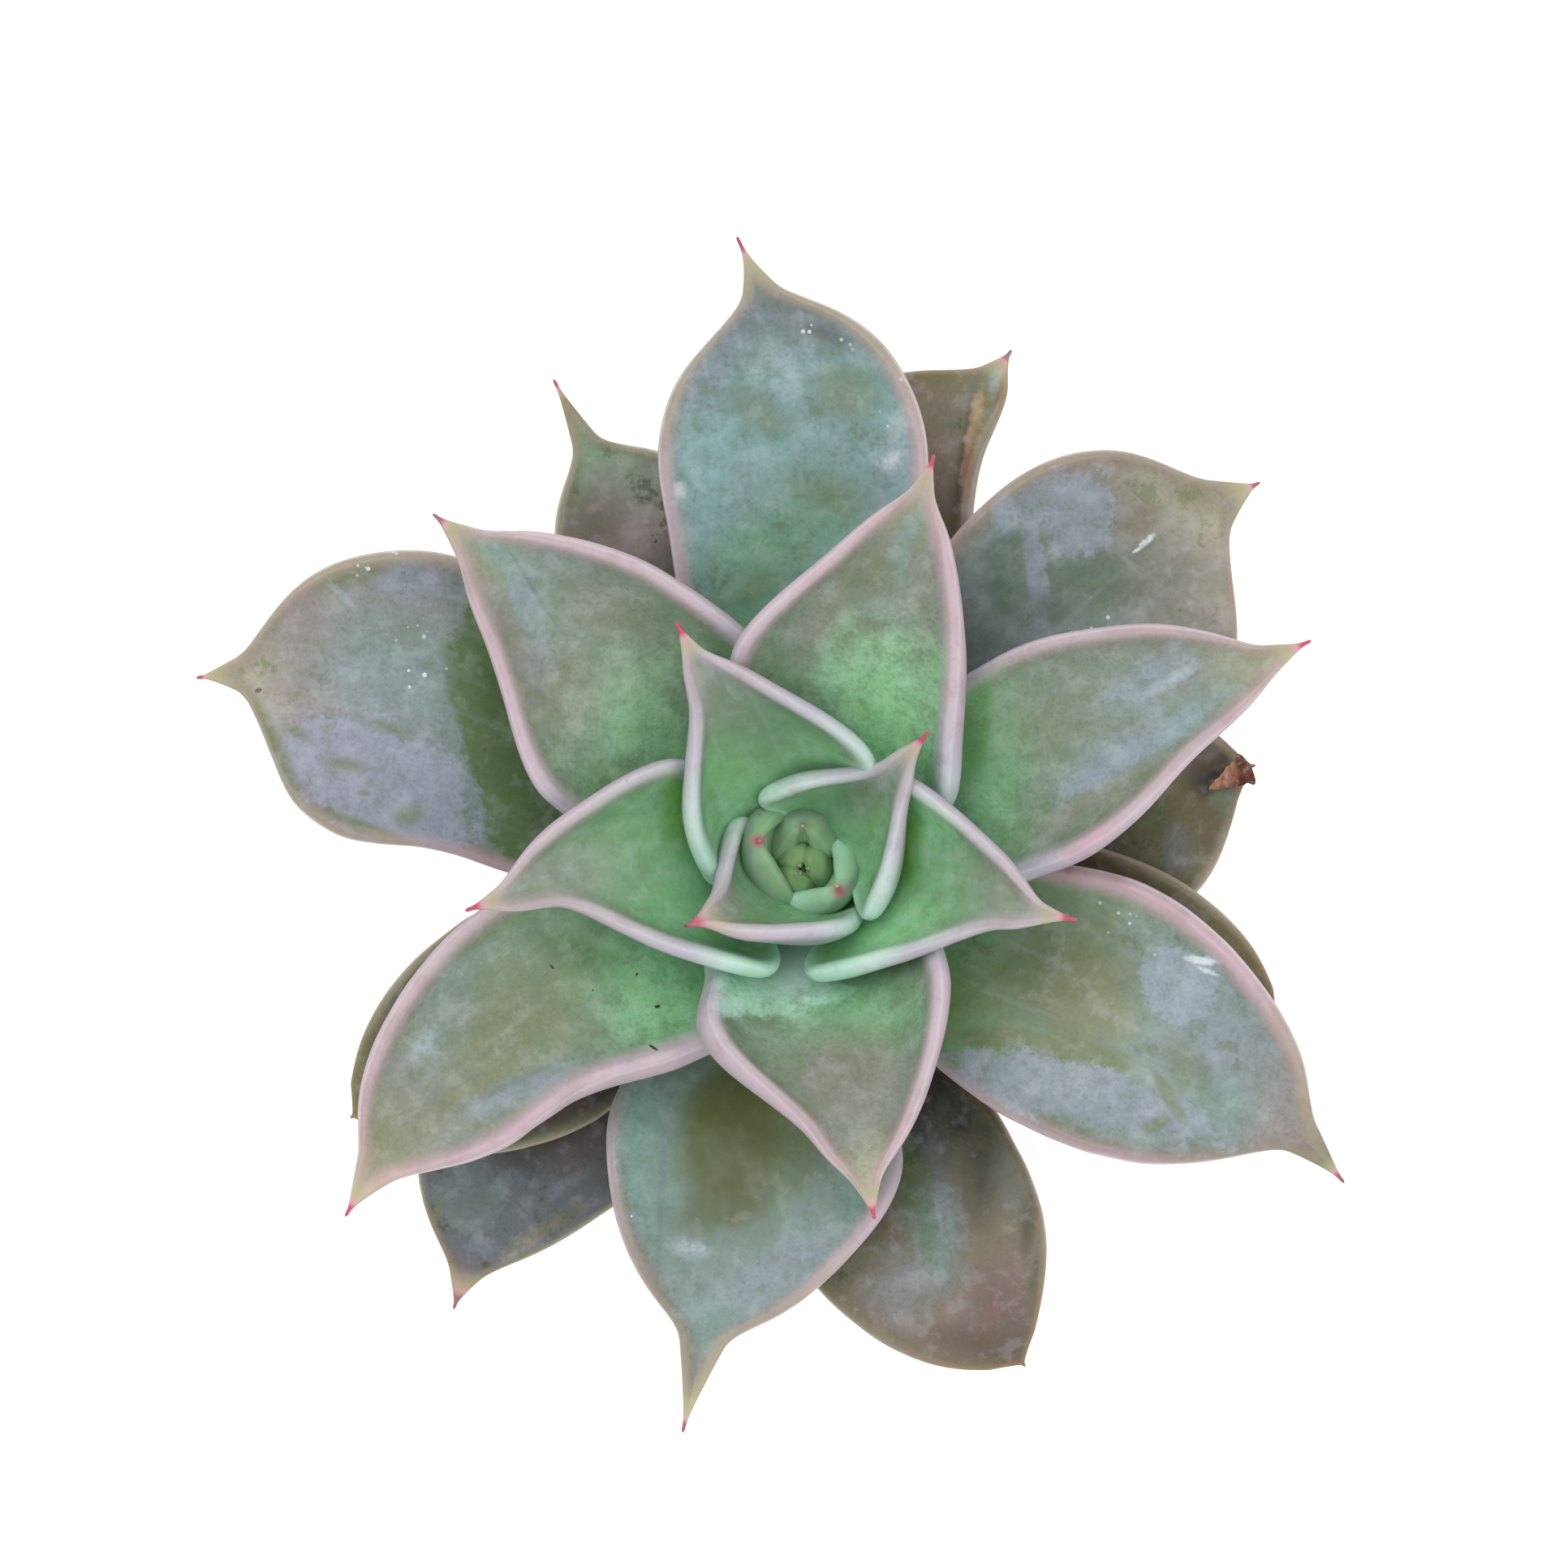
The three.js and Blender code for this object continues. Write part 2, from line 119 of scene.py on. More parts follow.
# A number in a material: Python's operators add its Math nodes
class Value:
    def __init__(self, paint, socket):
        self.paint = paint
        self.socket = socket

    def maths(self, operation, *others):
        sockets = {i: other for i, other in enumerate((self, *others))}
        return Value(self.paint, self.paint.node("ShaderNodeMath", {"operation": operation}, sockets).outputs[0])

    def __add__(self, other):
        return self.maths("ADD", other)

    def __mul__(self, other):
        return self.maths("MULTIPLY", other)

    __radd__, __rmul__ = __add__, __mul__

    def __sub__(self, other):
        return self.maths("SUBTRACT", other)

    def __rsub__(self, other):
        return (self * -1).maths("ADD", other)

    def __neg__(self):
        return self * -1

    def __abs__(self):
        return self.maths("ABSOLUTE")

    def rise(self, low, high):  # 0 below low, 1 above high, smooth between
        made = self.paint.node("ShaderNodeMapRange", {"interpolation_type": "SMOOTHSTEP"},
                               {"Value": self, "From Min": low, "From Max": high})
        return Value(self.paint, made.outputs["Result"])


# One material, built up in coats of colour
class Paint:
    def __init__(self, name):
        self.material = bpy.data.materials.new(name)
        self.material.use_nodes = True
        self.tree = self.material.node_tree
        self.tree.nodes.clear()

    # Adds a node. A name given to a socket stands for that tone, a ramp's stops are tones by their places.
    def node(self, kind, settings=None, sockets=None):
        made = self.tree.nodes.new(kind)
        for key, value in (settings or {}).items():
            if key == "stops":
                ramp = made.color_ramp.elements
                while len(ramp) < len(value):
                    ramp.new(0.5)
                for element, at in zip(ramp, value):
                    element.position = at
                for element, tone in zip(ramp, value.values()):
                    element.color = (*linear(tone), 1)
            else:
                setattr(made, key, value)
        for key, value in (sockets or {}).items():
            value = value.socket if isinstance(value, Value) else value
            if isinstance(value, bpy.types.NodeSocket):
                self.tree.links.new(value, made.inputs[key])
            elif isinstance(value, str):
                made.inputs[key].default_value = (*linear(value), 1)
            else:
                made.inputs[key].default_value = value
        return made

    def attribute(self, name):
        made = self.node("ShaderNodeAttribute", {"attribute_name": name, "attribute_type": "GEOMETRY"})
        return made.outputs["Vector"]

    def split(self, vector):
        parts = self.node("ShaderNodeSeparateXYZ", None, {0: vector})
        return [Value(self, parts.outputs[i]) for i in range(3)]

    def objectPlace(self, shift=(0, 0, 0)):
        coordinates = self.node("ShaderNodeTexCoord").outputs["Object"]
        return self.node("ShaderNodeVectorMath", {"operation": "ADD"}, {0: coordinates, 1: shift}).outputs[0]

    def stretched(self, vector, scale):
        return self.node("ShaderNodeVectorMath", {"operation": "MULTIPLY"}, {0: vector, 1: scale}).outputs[0]

    def noise(self, vector, scale, detail, roughness):
        made = self.node("ShaderNodeTexNoise", None, {
            "Vector": vector, "Scale": scale, "Detail": detail, "Roughness": roughness})
        return Value(self, made.outputs[0])

    def cells(self, vector, scale):
        made = self.node("ShaderNodeTexVoronoi", None, {"Vector": vector, "Scale": scale})
        return Value(self, made.outputs["Distance"]), self.split(made.outputs["Color"])

    def ramp(self, value, stops):
        return self.node("ShaderNodeValToRGB", {"stops": stops}, {0: value}).outputs["Color"]

    def mix(self, below, above, share):
        return self.node("ShaderNodeMix", {"data_type": "RGBA"}, {0: share, 6: below, 7: above}).outputs[2]

    # A patch: an ellipse seen from above, given by its middle in the picture in pixels,
    # its half sizes in millimetres and its turn in degrees. ragged pushes its edge about.
    def patch(self, coordinates, level, spotX, spotY, halfX, halfY, turn, soft, ragged):
        inside = self.node("ShaderNodeMapping", {"vector_type": "TEXTURE"}, {
            "Vector": coordinates, "Location": (*[c * mm for c in under(spotX, spotY, level)], 0),
            "Rotation": (0, 0, math.radians(turn)), "Scale": (halfX * mm, halfY * mm, 1000.0)}).outputs[0]
        made = self.node("ShaderNodeVectorMath", {"operation": "LENGTH"}, {0: inside})
        distance = Value(self, made.outputs["Value"]) + ragged
        return 1 - distance.rise(1 - soft, 1 + soft * 0.5)

    # Closes the material. depth = millimetres of bump between the height's 0 and 1
    def finish(self, colour, roughness, height=None, depth=0.0, **constants):
        shader = self.node("ShaderNodeBsdfPrincipled", None, {"Base Color": colour, "Roughness": roughness})
        for key, value in constants.items():
            shader.inputs[key].default_value = value
        if height:
            bump = self.node("ShaderNodeBump", None, {"Strength": 1.0, "Distance": depth * mm, "Height": height})
            self.tree.links.new(bump.outputs[0], shader.inputs["Normal"])
        output = self.node("ShaderNodeOutputMaterial")
        self.tree.links.new(shader.outputs[0], output.inputs["Surface"])
        return self.material


# The floor
bpy.ops.mesh.primitive_plane_add(size=studio["floorSide"], location=(0, 0, 0))
floor = bpy.context.object
floor.name = "floor"
floor.data.materials.append(Paint("pale_floor").finish(studio["floorTone"], studio["floorRough"], **{
    "Emission Color": (1, 1, 1, 1), "Emission Strength": studio["floorGlow"]}))
print("camera, light and floor set")


def named(name):  # the piece that was just added, under its name
    piece = bpy.context.object
    piece.name = piece.data.name = name
    return piece


def cornersOf(piece):
    corners = np.empty(len(piece.data.vertices) * 3)
    piece.data.vertices.foreach_get("co", corners)
    return corners.reshape(-1, 3)


def setCorners(piece, corners):
    piece.data.vertices.foreach_set("co", corners.ravel())
    piece.data.update()


# A ball to be shaped, with each corner's share of the way from pole to pole and its turn in radians
def addBall(name, around, rings, radius):
    bpy.ops.mesh.primitive_uv_sphere_add(segments=around, ring_count=rings, radius=radius)
    piece = named(name)
    ball = cornersOf(piece) / radius
    return piece, 1 - np.arccos(np.clip(ball[:, 2], -1, 1)) / math.pi, np.arctan2(ball[:, 1], ball[:, 0])


def pickOnly(*pieces):  # the last one becomes the active one
    bpy.ops.object.select_all(action="DESELECT")
    for piece in pieces:
        piece.select_set(True)
    bpy.context.view_layer.objects.active = pieces[-1]


def applyModifier(piece, kind, **settings):
    bpy.ops.object.modifier_add(type=kind)
    for key, value in settings.items():
        setattr(piece.modifiers[-1], key, value)
    bpy.ops.object.modifier_apply(modifier=piece.modifiers[-1].name)


def faceOutwards():
    bpy.ops.object.mode_set(mode="EDIT")
    bpy.ops.mesh.select_all(action="SELECT")
    bpy.ops.mesh.normals_make_consistent(inside=False)
    bpy.ops.object.mode_set(mode="OBJECT")


# The rosette: the heart's place, the top of the crown and the crown's radii, in millimetres
rosette = {"heart": (-4.6, -3.3), "crownTop": 97, "crownRadius": 6.4, "apexRadius": 1.2, "seatGap": 0.3}

# The leaves, youngest first, as in the model's source, in millimetres and degrees:
# tip = bearing, distance and height of the point; foot = bearing on the crown; rise = slopes of the midrib's ends;
# lift = how far the margins stand up, left and right; point = length and half width of the fine point;
# left, right = half widths of the blade at 4, 7 and 10 twelfths of its length;
# bow, hook = the midrib's swing and the point's turn to the left; edge = how thick the rolled margin is;
# ears = half widths at the foot, left and right, and the shares of the length at which the two ears end;
# flank = how thick the flesh is below the margin, left and right; full = fuller shoulders beside the point;
# slim = how hollow the point's sides run; ragged = how uneven the margin is
leaves = [
    {"tip": (90, 5.5, 13), "foot": 90, "rise": (60, 100), "lift": (4, 4), "point": (1.2, 1.2),
     "left": (3, 3.4, 2.4), "right": (3.2, 3.8, 2.6), "edge": 2.2},
    {"tip": (334, 4.8, 15), "foot": 319, "rise": (62, 100), "lift": (4.5, 4.5), "point": (1.4, 1),
     "left": (4.6, 5, 3.4), "right": (4.6, 5.2, 3.4), "edge": 1.5},
    {"tip": (146, 6.6, 17), "foot": 178, "rise": (66, 98), "lift": (4.5, 4.5), "point": (1.6, 1),
     "left": (5.4, 5.6, 3.4), "right": (5.4, 6, 4), "edge": 1.5},
    {"tip": (48, 23.2, 26), "foot": 40, "rise": (76, 35), "lift": (9, 9), "point": (5, 1.4),
     "left": (10.6, 8.4, 2.4), "right": (11.8, 10, 4), "ears": (12, 12.4, 0.42, 0.43), "flank": (1.4, 1.7)},
    {"tip": (205, 16.2, 25), "foot": 232, "rise": (78, 40), "lift": (7, 7), "point": (4, 1.4),
     "left": (11, 11.4, 6.5), "right": (8, 8, 3.2), "ears": (12.6, 11, 0.16, 0.2), "flank": (1.2, 1.3)},
    {"tip": (117, 34.6, 30), "foot": 115, "rise": (72, 30), "lift": (9, 9), "point": (6, 1.8),
     "left": (11, 9.8, 3.6), "right": (13, 13.6, 7), "ears": (12.6, 13.5, 0.33, 0.16), "flank": (1.4, 0.8)},
    {"tip": (350, 34.4, 28), "foot": 344, "rise": (70, 28), "lift": (9, 9), "point": (6, 1.8),
     "left": (12, 13, 7.6), "right": (13.8, 9.2, 3.4), "ragged": 1.4, "ears": (13, 14.2, 0.16, 0.335),
     "flank": (1, 1.4)},
    {"tip": (186.5, 42, 30), "foot": 195, "rise": (66, 28), "lift": (9, 9), "point": (6, 2),
     "left": (13.6, 9.2, 2.6), "right": (12, 13.2, 8), "hook": 15, "ragged": 1.4, "ears": (15, 13, 0.31, 0.16),
     "flank": (1.3, 1)},
    {"tip": (72.6, 54, 30), "foot": 72, "rise": (60, 25), "lift": (8, 8), "point": (6, 2), "left": (13, 16, 8.4),
     "right": (15.8, 12.8, 8), "ears": (13.5, 16, 0.15, 0.36), "flank": (1.4, 2)},
    {"tip": (281.6, 44, 28), "foot": 281, "rise": (62, 25), "lift": (8, 8), "point": (6, 2.3),
     "left": (14.5, 14.6, 9.2), "right": (14.5, 16.3, 6.8), "ears": (16, 15.6, 0.4, 0.2), "flank": (1.7, 3)},
    {"tip": (136, 64, 27), "foot": 139, "rise": (55, 22), "lift": (7, 7), "point": (7, 2.9), "left": (15, 17, 8.8),
     "right": (14.5, 14.5, 10), "bow": -1.5, "ears": (14.5, 13.5, 0.14, 0.14), "flank": (1.6, 1.6)},
    {"tip": (24.4, 69.6, 25), "foot": 16, "rise": (50, 20), "lift": (6, 6), "point": (7, 2.6),
     "left": (13, 14.2, 10.4), "right": (12, 12.3, 6.6), "ragged": 1.7, "ears": (12, 11.5, 0.14, 0.14),
     "flank": (1.2, 2)},
    {"tip": (217, 72, 22), "foot": 208, "rise": (46, 14), "lift": (6, 6), "point": (8, 3.3),
     "left": (15.4, 12, 9.8), "right": (14, 15, 10.8), "bow": -2, "hook": 18, "ragged": 1.5,
     "ears": (15, 13.5, 0.16, 0.16), "flank": (2.6, 1.3)},
    {"tip": (95.9, 80.5, 18), "foot": 91, "rise": (40, 16), "lift": (4, 4), "point": (8.5, 3.1),
     "left": (13.5, 16.5, 15.8), "right": (13.5, 16.2, 15), "hook": 20, "full": (0.9, 0.5), "slim": 1.6,
     "flank": (1.5, 1.3)},
    {"tip": (330, 79.5, 15), "foot": 336, "rise": (36, 8), "lift": (4, 4), "point": (9, 3.1),
     "left": (13, 16.3, 11.4), "right": (15.5, 18.2, 14), "hook": -20, "flank": (1.4, 1.3)},
    {"tip": (162.4, 81, 14), "foot": 160, "rise": (32, 8), "lift": (3.5, 3.5), "point": (6.5, 3),
     "left": (14, 17, 18.2), "right": (15, 19, 16.8), "hook": 25, "full": (2.4, 0.8)},
    {"tip": (40.2, 77, 8), "foot": 44, "rise": (26, 6), "lift": (3, 3), "point": (7, 4.4), "left": (13, 17, 16),
     "right": (15, 21, 20.5), "hook": -15, "full": (0.6, 0.8)},
    {"tip": (258, 74.3, 7), "foot": 260, "rise": (24, 4), "lift": (3, 3), "point": (13, 3.5),
     "left": (15, 20.8, 14), "right": (14, 18, 13), "flank": (1.4, 1.3)},
    {"tip": (117, 71, 4), "foot": 119, "rise": (20, 6), "lift": (3, 3), "point": (10, 2.1), "left": (12, 13.5, 9.8),
     "right": (12, 16, 12.5)},
    {"tip": (342, 65.5, 0), "foot": 345, "rise": (16, 5), "lift": (2, 2), "point": (2, 4), "left": (12, 14.5, 11.5),
     "right": (12, 16, 14)},
    {"tip": (209, 67.5, -1), "foot": 209, "rise": (14, 5), "lift": (2, 2), "point": (2, 4), "left": (12, 16, 12.5),
     "right": (11.5, 15.5, 12.2)},
    {"tip": (68, 73, -2), "foot": 66, "rise": (12, 4), "lift": (2, 6), "point": (5, 2.9), "left": (11, 15, 16.6),
     "right": (10, 8, 4), "hook": -14},
    {"tip": (294, 72, -5), "foot": 293, "rise": (10, 3), "lift": (2, 2), "point": (2.5, 4), "left": (11, 15, 13),
     "right": (12, 18, 13.3), "bow": -2.5, "hook": 10},
    {"tip": (158, 54, -8), "foot": 164, "rise": (10, 4), "lift": (2, 2), "point": (3, 3), "left": (12, 13, 10),
     "right": (12, 15, 12)},
    {"tip": (12.5, 61.7, -11), "foot": 15, "rise": (8, 3), "lift": (2, 2), "point": (3, 4), "left": (12, 15, 12),
     "right": (12, 16.5, 15.5)},
    {"tip": (231.8, 75.2, -13), "foot": 232, "rise": (7, 2), "lift": (2, 2), "point": (6, 3), "left": (11, 15, 11),
     "right": (11, 15, 12.8), "bow": -2.5, "hook": 15},
]


# How a leaf's surface is divided, round the blade and along it, and what is finer than its plain form. swell, ripple,
# rib: heights of the waves in the flesh, in the margins and of the fine ribs, in millimetres, with their lengths.
# stations: where on the blade its half widths are given. earRound, earNeck: how long an ear's round end is and how
# narrow the blade is past it, as shares. shoulder: how far round the shoulders are, in millimetres.
leafGrid = {"around": 48, "rimSteps": 4, "rings": 64, "smallRings": 40, "pointShare": 0.26, "rimRound": 0.95,
            "stations": (0, 4 / 12, 7 / 12, 10 / 12, 1), "swell": 0.22, "swellLengths": (23.0, 14.0, 9.0),
            "ripple": 0.2, "rippleLengths": (19.0, 11.0, 6.5), "rib": 0.04, "ribWidth": 3.1,
            "earRound": 0.13, "earNeck": 0.38, "shoulder": 1.5, "shoulderSteps": 11, "shortPoint": 3}


def polar(bearing, distance, height=0.0):
    angle = math.radians(bearing)
    return np.array([math.cos(angle) * distance, math.sin(angle) * distance, height])


def blendBetween(a, b, share):
    return a + (b - a) * share


def ease(x, low, high):
    x = np.clip((x - low) / (high - low), 0, 1)
    return x * x * (3 - 2 * x)


def unit(vectors):
    return vectors / np.linalg.norm(vectors, axis=-1, keepdims=True)


def footDrop(order):
    return 0.5 * order + 0.012 * order * order


def footRadius(order):
    return rosette["apexRadius"] + (rosette["crownRadius"] - rosette["apexRadius"]) * (1 - math.exp(-order / 6))


# The midrib is one cubic curve. Gives the way gone along it, with the places and directions there.
def midribOf(leaf, order):
    foot = polar(leaf["foot"], footRadius(order) + rosette["seatGap"], -footDrop(order))
    tip = polar(*leaf["tip"])
    chord = tip - foot
    handle = np.linalg.norm(chord) * 0.37
    bearing = math.degrees(math.atan2(chord[1], chord[0])) if math.hypot(chord[0], chord[1]) > 6 else leaf["foot"]

    def aim(slope, turn):
        return polar(bearing + turn, math.cos(math.radians(slope)), math.sin(math.radians(slope)))

    sideways = polar(bearing + 90, leaf.get("bow", 0) * 1.333)
    second = foot + aim(leaf["rise"][0], 0) * handle + sideways
    third = tip - aim(leaf["rise"][1], leaf.get("hook", 0)) * handle + sideways
    u = np.linspace(0, 1, 801)[:, None]
    places = (1 - u) ** 3 * foot + 3 * (1 - u) ** 2 * u * second + 3 * (1 - u) * u * u * third + u ** 3 * tip
    slopes = unit((1 - u) ** 2 * (second - foot) + 2 * (1 - u) * u * (third - second) + u * u * (tip - third))
    gone = np.concatenate([[0], np.cumsum(np.linalg.norm(np.diff(places, axis=0), axis=1))])
    return gone, places, slopes


# A smooth curve through a few heights at given places, steeper at its last one
def through(places, heights, x):
    last = len(places) - 1
    slopes = []
    for k in range(last + 1):
        a, b = max(k - 1, 0), min(k + 1, last)
        slopes.append((1.6 if k == last else 1) * (heights[b] - heights[a]) / (places[b] - places[a]))
    result = np.zeros_like(x)
    for i in range(last):
        here = (x >= places[i]) if i == last - 1 else (x >= places[i]) & (x < places[i + 1])
        span = places[i + 1] - places[i]
        u = np.clip((x - places[i]) / span, 0, 1)
        value = (heights[i] * (2 * u ** 3 - 3 * u ** 2 + 1) + heights[i + 1] * (3 * u ** 2 - 2 * u ** 3)
                 + span * (slopes[i] * (u ** 3 - 2 * u ** 2 + u) + slopes[i + 1] * (u ** 3 - u ** 2)))
        result = np.where(here, value, result)
    return result


# Half the blade's width on one side, k = 0 left or 1 right, with its shoulders rounded off
def halfWidth(leaf, k, t, pointStart, length):
    sharp = sharpWidth(leaf, k, t, pointStart)
    if leaf["point"][0] <= leafGrid["shortPoint"]:
        return sharp
    steps = leafGrid["shoulderSteps"]
    reach = np.linspace(-1, 1, steps) * leafGrid["shoulder"] / length * ease(1 - t, 0, 3 / length)[:, None]
    near = [sharpWidth(leaf, k, np.minimum(t + reach[:, i], 1), pointStart) for i in range(steps)]
    return blendBetween(sharp, np.mean(near, axis=0), ease(t, 0.5, 0.65))


# The same before rounding. Where the margin ends in a round ear, the blade is wide down to the ear.
def sharpWidth(leaf, k, t, pointStart):
    widths = leaf[("left", "right")[k]]
    ears = leaf.get("ears")
    footHalf = ears[k] if ears else min(4.6, widths[0] * 0.55)
    heights = [footHalf, *widths, leaf["point"][1]]
    blade = through(leafGrid["stations"], heights, np.minimum(t / pointStart, 1))
    if "full" in leaf:
        blade = blade + leaf["full"][k] * np.exp(-((t / pointStart - 0.93) / 0.06) ** 2)
    if ears:
        short = np.clip((ears[2 + k] - t) / leafGrid["earRound"], 0, 1)
        blade = blade * (leafGrid["earNeck"] + (1 - leafGrid["earNeck"]) * np.sqrt(1 - short ** 2))
    left = np.clip((1 - t) / (1 - pointStart), 0, 1)
    return np.where(t > pointStart, np.maximum(leaf["point"][1] * left ** leaf.get("slim", 1.15), 0.25), blade)


# Slow waves over a surface, for flesh that is never quite even. Each seed has its own.
def waves(seed, x, y, lengths):
    dice = np.random.default_rng(seed)
    total = np.zeros_like(x)
    for length in lengths:
        for turn in dice.uniform(0, math.pi, 2):
            phase = dice.uniform(0, 2 * math.pi)
            way = x * math.cos(turn) + y * math.sin(turn)
            total += length / leafGrid["swellLengths"][0] * np.sin(way * 2 * math.pi / length + phase)
    return total / len(lengths)


# The leaf's surface as rings of points from foot to tip, with two maps for its paint:
# leafPlace = share along, share across, millimetres in from the margin (below zero on the underside)
# leafSheet = millimetres along, millimetres across, millimetres to the tip
def leafForm(leaf, order, seed, rings):
    gone, places, slopes = midribOf(leaf, order)
    length = gone[-1]
    pointStart = 1 - leaf["point"][0] / length
    bladeRings = round((rings - 2) * (1 - leafGrid["pointShare"]))
    t = np.concatenate([np.linspace(0, pointStart, bladeRings + 1),
                        np.linspace(pointStart, 1, rings - 2 - bladeRings + 1)[1:]])
    place = np.stack([np.interp(t * length, gone, places[:, k]) for k in range(3)], 1)
    along = unit(np.stack([np.interp(t * length, gone, slopes[:, k]) for k in range(3)], 1))
    side = polar(leaf["foot"] + 90, 1) * np.ones((len(t), 1))
    side = unit(side - along * np.sum(side * along, axis=1, keepdims=True))
    up = np.cross(along, side)
    age = min(order / 12, 1)  # older leaves have thicker flesh
    taper = 1 - ease(t, 0.75, 1) * 0.7
    around = leafGrid["around"]
    quarter = around // 4
    step = np.arange(around)
    left = (step <= quarter) | (step > 3 * quarter)
    face = np.where(step < 2 * quarter, 1, -1)
    fromRim = np.minimum(step % (2 * quarter), (2 * quarter) - step % (2 * quarter))
    edgeWide = leaf.get("edge", 1.12)
    halves, lifts, fulls = [], [], []
    for k, key in enumerate(("left", "right")):
        half = halfWidth(leaf, k, t, pointStart, length)
        ripple = waves(seed + 5 + k, t * length, np.zeros_like(t), leafGrid["rippleLengths"]) * leafGrid["ripple"]
        ripple *= ease(t, 0.1, 0.35) * (1 - ease(t, pointStart - 0.08, pointStart)) * leaf.get("ragged", 1)
        most = max(leaf[key])
        halves.append(half + ripple)
        lifts.append(leaf["lift"][k] * np.minimum(half / most, 1.1) ** 1.3 + ripple * 1.3)
        fulls.append(np.minimum(half / most, 1))
    full = (fulls[0] + fulls[1]) / 2
    half = np.where(left, halves[0][:, None], halves[1][:, None])
    lift = np.where(left, lifts[0][:, None], lifts[1][:, None])
    edge = np.minimum((blendBetween(0.9, 1.05, age) * taper)[:, None] * edgeWide, np.maximum(half * 0.7, 0.3))
    flank = np.where(left, *leaf.get("flank", (1, 1))) * (taper * (1 - 0.65 * ease(t, 0.4, 0.9)))[:, None]
    if "ears" in leaf:  # the flank thins out round the end of an ear
        ends = [np.clip((end - t) / leafGrid["earRound"] + 0.35, 0, 1)[:, None] for end in leaf["ears"][2:]]
        flank = flank * (1 - 0.75 * np.where(left, *ends) ** 2)
    flank = np.minimum(np.maximum(flank, edge), np.maximum(half * 0.8, 0.3))
    belly = (blendBetween(0.5, 1.1, age) * full * taper)[:, None]
    inset = np.minimum(leafGrid["rimRound"] * edge / half, 0.5)
    onRim = fromRim <= leafGrid["rimSteps"]
    # s runs from 0 on the midrib to 1 on the margin, along a curve that leaves the midrib flat and then climbs
    s = np.where(onRim, 1.0, 1 - (fromRim - leafGrid["rimSteps"]) / (quarter - leafGrid["rimSteps"])) * (1 - inset)
    start = half * blendBetween(0.5, 0.92, np.clip(lift / half, 0, 1))
    out = 2 * s * (1 - s) * start + s * s * half
    high = s * s * lift
    lean = np.arctan2(s * lift, (1 - s) * start + s * (half - start))
    thick = np.where(face > 0, edge, flank) + (1 - s * s) * belly * np.where(face > 0, 0.3, 1.7)
    angle = np.clip(fromRim / leafGrid["rimSteps"], 0, 1) * math.pi / 2  # round the rolled margin
    reach = np.where(onRim, np.cos(angle), 0)
    stand = np.where(onRim, np.sin(angle), 1) * face * thick
    outward = out + (half - out) * reach - np.sin(lean) * (stand + (flank - edge) * (s + (1 - s) * reach) ** 2)
    upward = high + (lift - high) * reach + np.cos(lean) * stand
    ones = np.ones((1, around))
    run = (t * length)[:, None] * ones
    sign = np.where(left, 1, -1)
    swell = waves(seed, run, sign * outward, leafGrid["swellLengths"]) * leafGrid["swell"]
    ribBend = waves(seed + 3, run, outward, leafGrid["swellLengths"]) * 0.8
    rib = np.sin(sign * outward * 2 * math.pi / leafGrid["ribWidth"] + ribBend)
    swell = swell + rib * leafGrid["rib"] * (face > 0) * (1 - reach)
    swell *= (ease(t, 0.06, 0.25) * (1 - ease(t, pointStart - 0.05, pointStart + 0.02)))[:, None]
    points = (place[:, None, :] + side[:, None, :] * (sign * outward)[..., None]
              + up[:, None, :] * (upward + swell)[..., None])
    # the way in from the margin is measured over the surface
    gaps = np.linalg.norm(np.roll(points, -1, axis=1) - points, axis=2)
    inward = np.zeros_like(outward)
    for j in range(around):
        halfTurn = j % (2 * quarter)
        if halfTurn <= quarter:
            inward[:, j] = gaps[:, j - halfTurn:j].sum(axis=1)
        else:
            inward[:, j] = gaps[:, j:j - halfTurn + 2 * quarter].sum(axis=1)
    leafPlace = np.stack([t[:, None] * ones, sign * s * np.ones_like(outward), inward * face], 2)
    leafSheet = np.stack([run, sign * outward, (1 - t)[:, None] * length * ones], 2)
    foot = place[0] - along[0] * 0.05 + up[0] * 0.2
    tip = points[-1].mean(axis=0) + along[-1] * 0.35
    return points, foot, tip, leafPlace, leafSheet


def shiftToPot(points):
    return (points + np.array([*rosette["heart"], rosette["crownTop"]])) * mm


# Turns a ball into a leaf: each of its rings becomes a section of the blade
def growLeaf(name, leaf, order, seed, rings):
    around = leafGrid["around"]
    points, foot, tip, leafPlace, leafSheet = leafForm(leaf, order, seed, rings)
    piece, share, turn = addBall(name, around, rings, 0.01)
    ring = np.rint(share * rings).astype(int)
    step = np.rint(turn / (2 * math.pi) * around).astype(int) % around
    inner = np.clip(ring - 1, 0, rings - 2)
    place = points[inner, step]
    place[ring == 0] = foot
    place[ring == rings] = tip
    setCorners(piece, shiftToPot(place))
    for key, grid in (("leafPlace", leafPlace), ("leafSheet", leafSheet)):
        layer = piece.data.attributes.new(key, "FLOAT_VECTOR", "POINT")
        layer.data.foreach_set("vector", grid[inner, step].ravel())
    piece.data.update()
    applyModifier(piece, "SUBSURF", levels=1, render_levels=1)
    bpy.ops.object.shade_smooth()
    return piece


# How leaves are painted where neither their tier nor their own look says otherwise. wash: weight of the milky green
# near the ears. streak, grain: weights of the pale streaks and of the dark grain. fade: how softly the margin's band
# ends, and over: how far it goes down outside, in millimetres. crest: weight of the painted highlight line
# on the margin's crest.
plain = {"wash": 0.0, "streak": 0.1, "grain": 0.2, "fade": 1.4, "over": 6.1, "crest": 0.35, "tipTone": "crimson",
         "patches": [], "late": [], "dewGlints": []}

